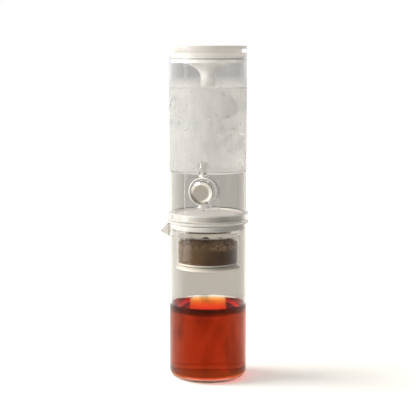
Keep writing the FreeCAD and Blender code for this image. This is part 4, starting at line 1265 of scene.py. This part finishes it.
class TOWER_OT_stage(bpy.types.Operator):
    """Set the camera, the lamps, the white surroundings and the floor"""

    bl_idname = "tower.stage"
    bl_label = "Set the stage"

    def execute(self, context):
        settings = context.scene.stage_settings
        scene = context.scene
        scene.view_settings.view_transform = "Standard"
        scene.cycles.max_bounces = 32
        scene.cycles.transmission_bounces = 32
        scene.cycles.glossy_bounces = 8
        scene.cycles.transparent_max_bounces = 32
        self.camera(settings, scene)
        self.lamps(settings)
        self.surroundings(settings, scene)
        self.floor(settings)
        return {"FINISHED"}

    def camera(self, settings, scene):
        """Stand the camera to the right of the front, looking down a little."""
        data = bpy.data.cameras.new("Camera")
        data.lens = settings.camera_lens
        data.sensor_width = 36
        data.clip_end = 50
        camera = bpy.data.objects.new("Camera", data)
        turned = settings.camera_turn
        camera.location = (settings.camera_distance * math.sin(turned),
                           -settings.camera_distance * math.cos(turned), settings.camera_height)
        camera.rotation_euler = (math.pi / 2 - settings.camera_pitch, 0, turned)
        scene.collection.objects.link(camera)
        scene.camera = camera

    def lamps(self, settings):
        """A high soft sun from the left and an upright strip beside the tower."""
        sun = bpy.data.lights.new("Key sun", "SUN")
        sun.energy = settings.key_strength
        sun.angle = settings.key_spread
        sun.color = settings.key_colour
        key = bpy.data.objects.new("Key sun", sun)
        key.rotation_euler = Vector(settings.key_side).to_track_quat("Z", "Y").to_euler()
        bpy.context.scene.collection.objects.link(key)
        strip = bpy.data.lights.new("Strip", "AREA")
        strip.shape = "RECTANGLE"
        strip.size = settings.strip_width
        strip.size_y = settings.strip_height
        strip.energy = settings.strip_power
        place = Vector(settings.strip_place)
        beside = bpy.data.objects.new("Strip", strip)
        beside.location = place
        beside.rotation_euler = Vector((place.x, place.y, 0.0)).to_track_quat("Z", "Y").to_euler()
        bpy.context.scene.collection.objects.link(beside)

    def surroundings(self, settings, scene):
        """White for the eye, for gloss and through glass; the room's warm light on matt surfaces."""
        world = bpy.data.worlds.new("Studio")
        world.use_nodes = True
        scene.world = world
        sky = Wiring(world.node_tree)
        sky.tree.nodes.clear()
        path = sky.node("ShaderNodeLightPath")
        seen = sky.math("MAXIMUM", path.output("Is Camera Ray"),
                        sky.math("MAXIMUM", path.output("Is Glossy Ray"), path.output("Is Transmission Ray")))
        room = sky.node("ShaderNodeBackground", sockets={"Color": (*settings.ambient, 1), "Strength": 1.0})
        white = sky.node("ShaderNodeBackground", sockets={"Color": (1, 1, 1, 1), "Strength": 1.0})
        mixed = sky.node("ShaderNodeMixShader", sockets={0: seen, 1: room, 2: white})
        sky.node("ShaderNodeOutputWorld", sockets={"Surface": mixed})

    def floor(self, settings):
        """Lay a wide pale floor that keeps the tower's shadow and throws less light on matt surfaces."""
        half = settings.floor_half
        mesh = bpy.data.meshes.new("floor")
        mesh.from_pydata([(-half, -half, 0), (half, -half, 0), (half, half, 0), (-half, half, 0)], [],
                         [(0, 1, 2, 3)])
        floor = placed("floor", mesh)
        paint = Finish("Pale floor")
        clouds = paint.noise(3, 3)
        surface = paint.principled(
            Base_Color=paint.blend(clouds, tuple(level * 0.985 for level in settings.floor_white),
                                   settings.floor_white),
            Roughness=0.7,
            Specular_IOR_Level=0.1,
            Emission_Color=(*settings.floor_glow, 1),
            Emission_Strength=settings.floor_lift,
        )
        dim = paint.principled(Base_Color=settings.floor_bounce, Roughness=0.8)
        spread = paint.node("ShaderNodeLightPath", output="Is Diffuse Ray")
        mixed = paint.node("ShaderNodeMixShader", sockets={0: spread, 1: surface, 2: dim})
        mesh.materials.append(paint.finish(mixed))


class TOWER_PT_sidebar(bpy.types.Panel):
    """The tower's pieces and their settings, in the order in which they are made"""

    bl_idname = "TOWER_PT_sidebar"
    bl_label = "Cold drip tower"
    bl_space_type = "VIEW_3D"
    bl_region_type = "UI"
    bl_category = "Drip Tower"

    def draw(self, context):
        for title, settings in SETTINGS.items():
            box = self.layout.box()
            box.label(text=settings.__doc__)
            group = getattr(context.scene, title)
            for name in settings.__annotations__:
                box.prop(group, name)
        for operator in OPERATORS:
            self.layout.operator(operator.bl_idname)


SETTINGS = {
    "carafe_settings": CarafeSettings,
    "brew_settings": BrewSettings,
    "tank_settings": TankSettings,
    "valve_settings": ValveSettings,
    "lid_settings": LidSettings,
    "stage_settings": StageSettings,
}
OPERATORS = (
    TOWER_OT_stage,
    TOWER_OT_carafe,
    TOWER_OT_coffee,
    TOWER_OT_chamber,
    TOWER_OT_filter,
    TOWER_OT_grounds,
    TOWER_OT_spreader,
    TOWER_OT_tank,
    TOWER_OT_ice_water,
    TOWER_OT_valve,
    TOWER_OT_knob,
    TOWER_OT_lid,
)


def register():
    """Make the settings, the operators and the panel known."""
    for kind in (*SETTINGS.values(), *OPERATORS, TOWER_PT_sidebar):
        bpy.utils.register_class(kind)
    for title, settings in SETTINGS.items():
        setattr(bpy.types.Scene, title, PointerProperty(type=settings))


def unregister():
    """Take them away again."""
    for title in SETTINGS:
        delattr(bpy.types.Scene, title)
    for kind in reversed((*SETTINGS.values(), *OPERATORS, TOWER_PT_sidebar)):
        bpy.utils.unregister_class(kind)


def main():
    """Make every piece in order."""
    register()
    for operator in OPERATORS:
        family, name = operator.bl_idname.split(".")
        getattr(getattr(bpy.ops, family), name)()


if __name__ == "__main__":
    main()
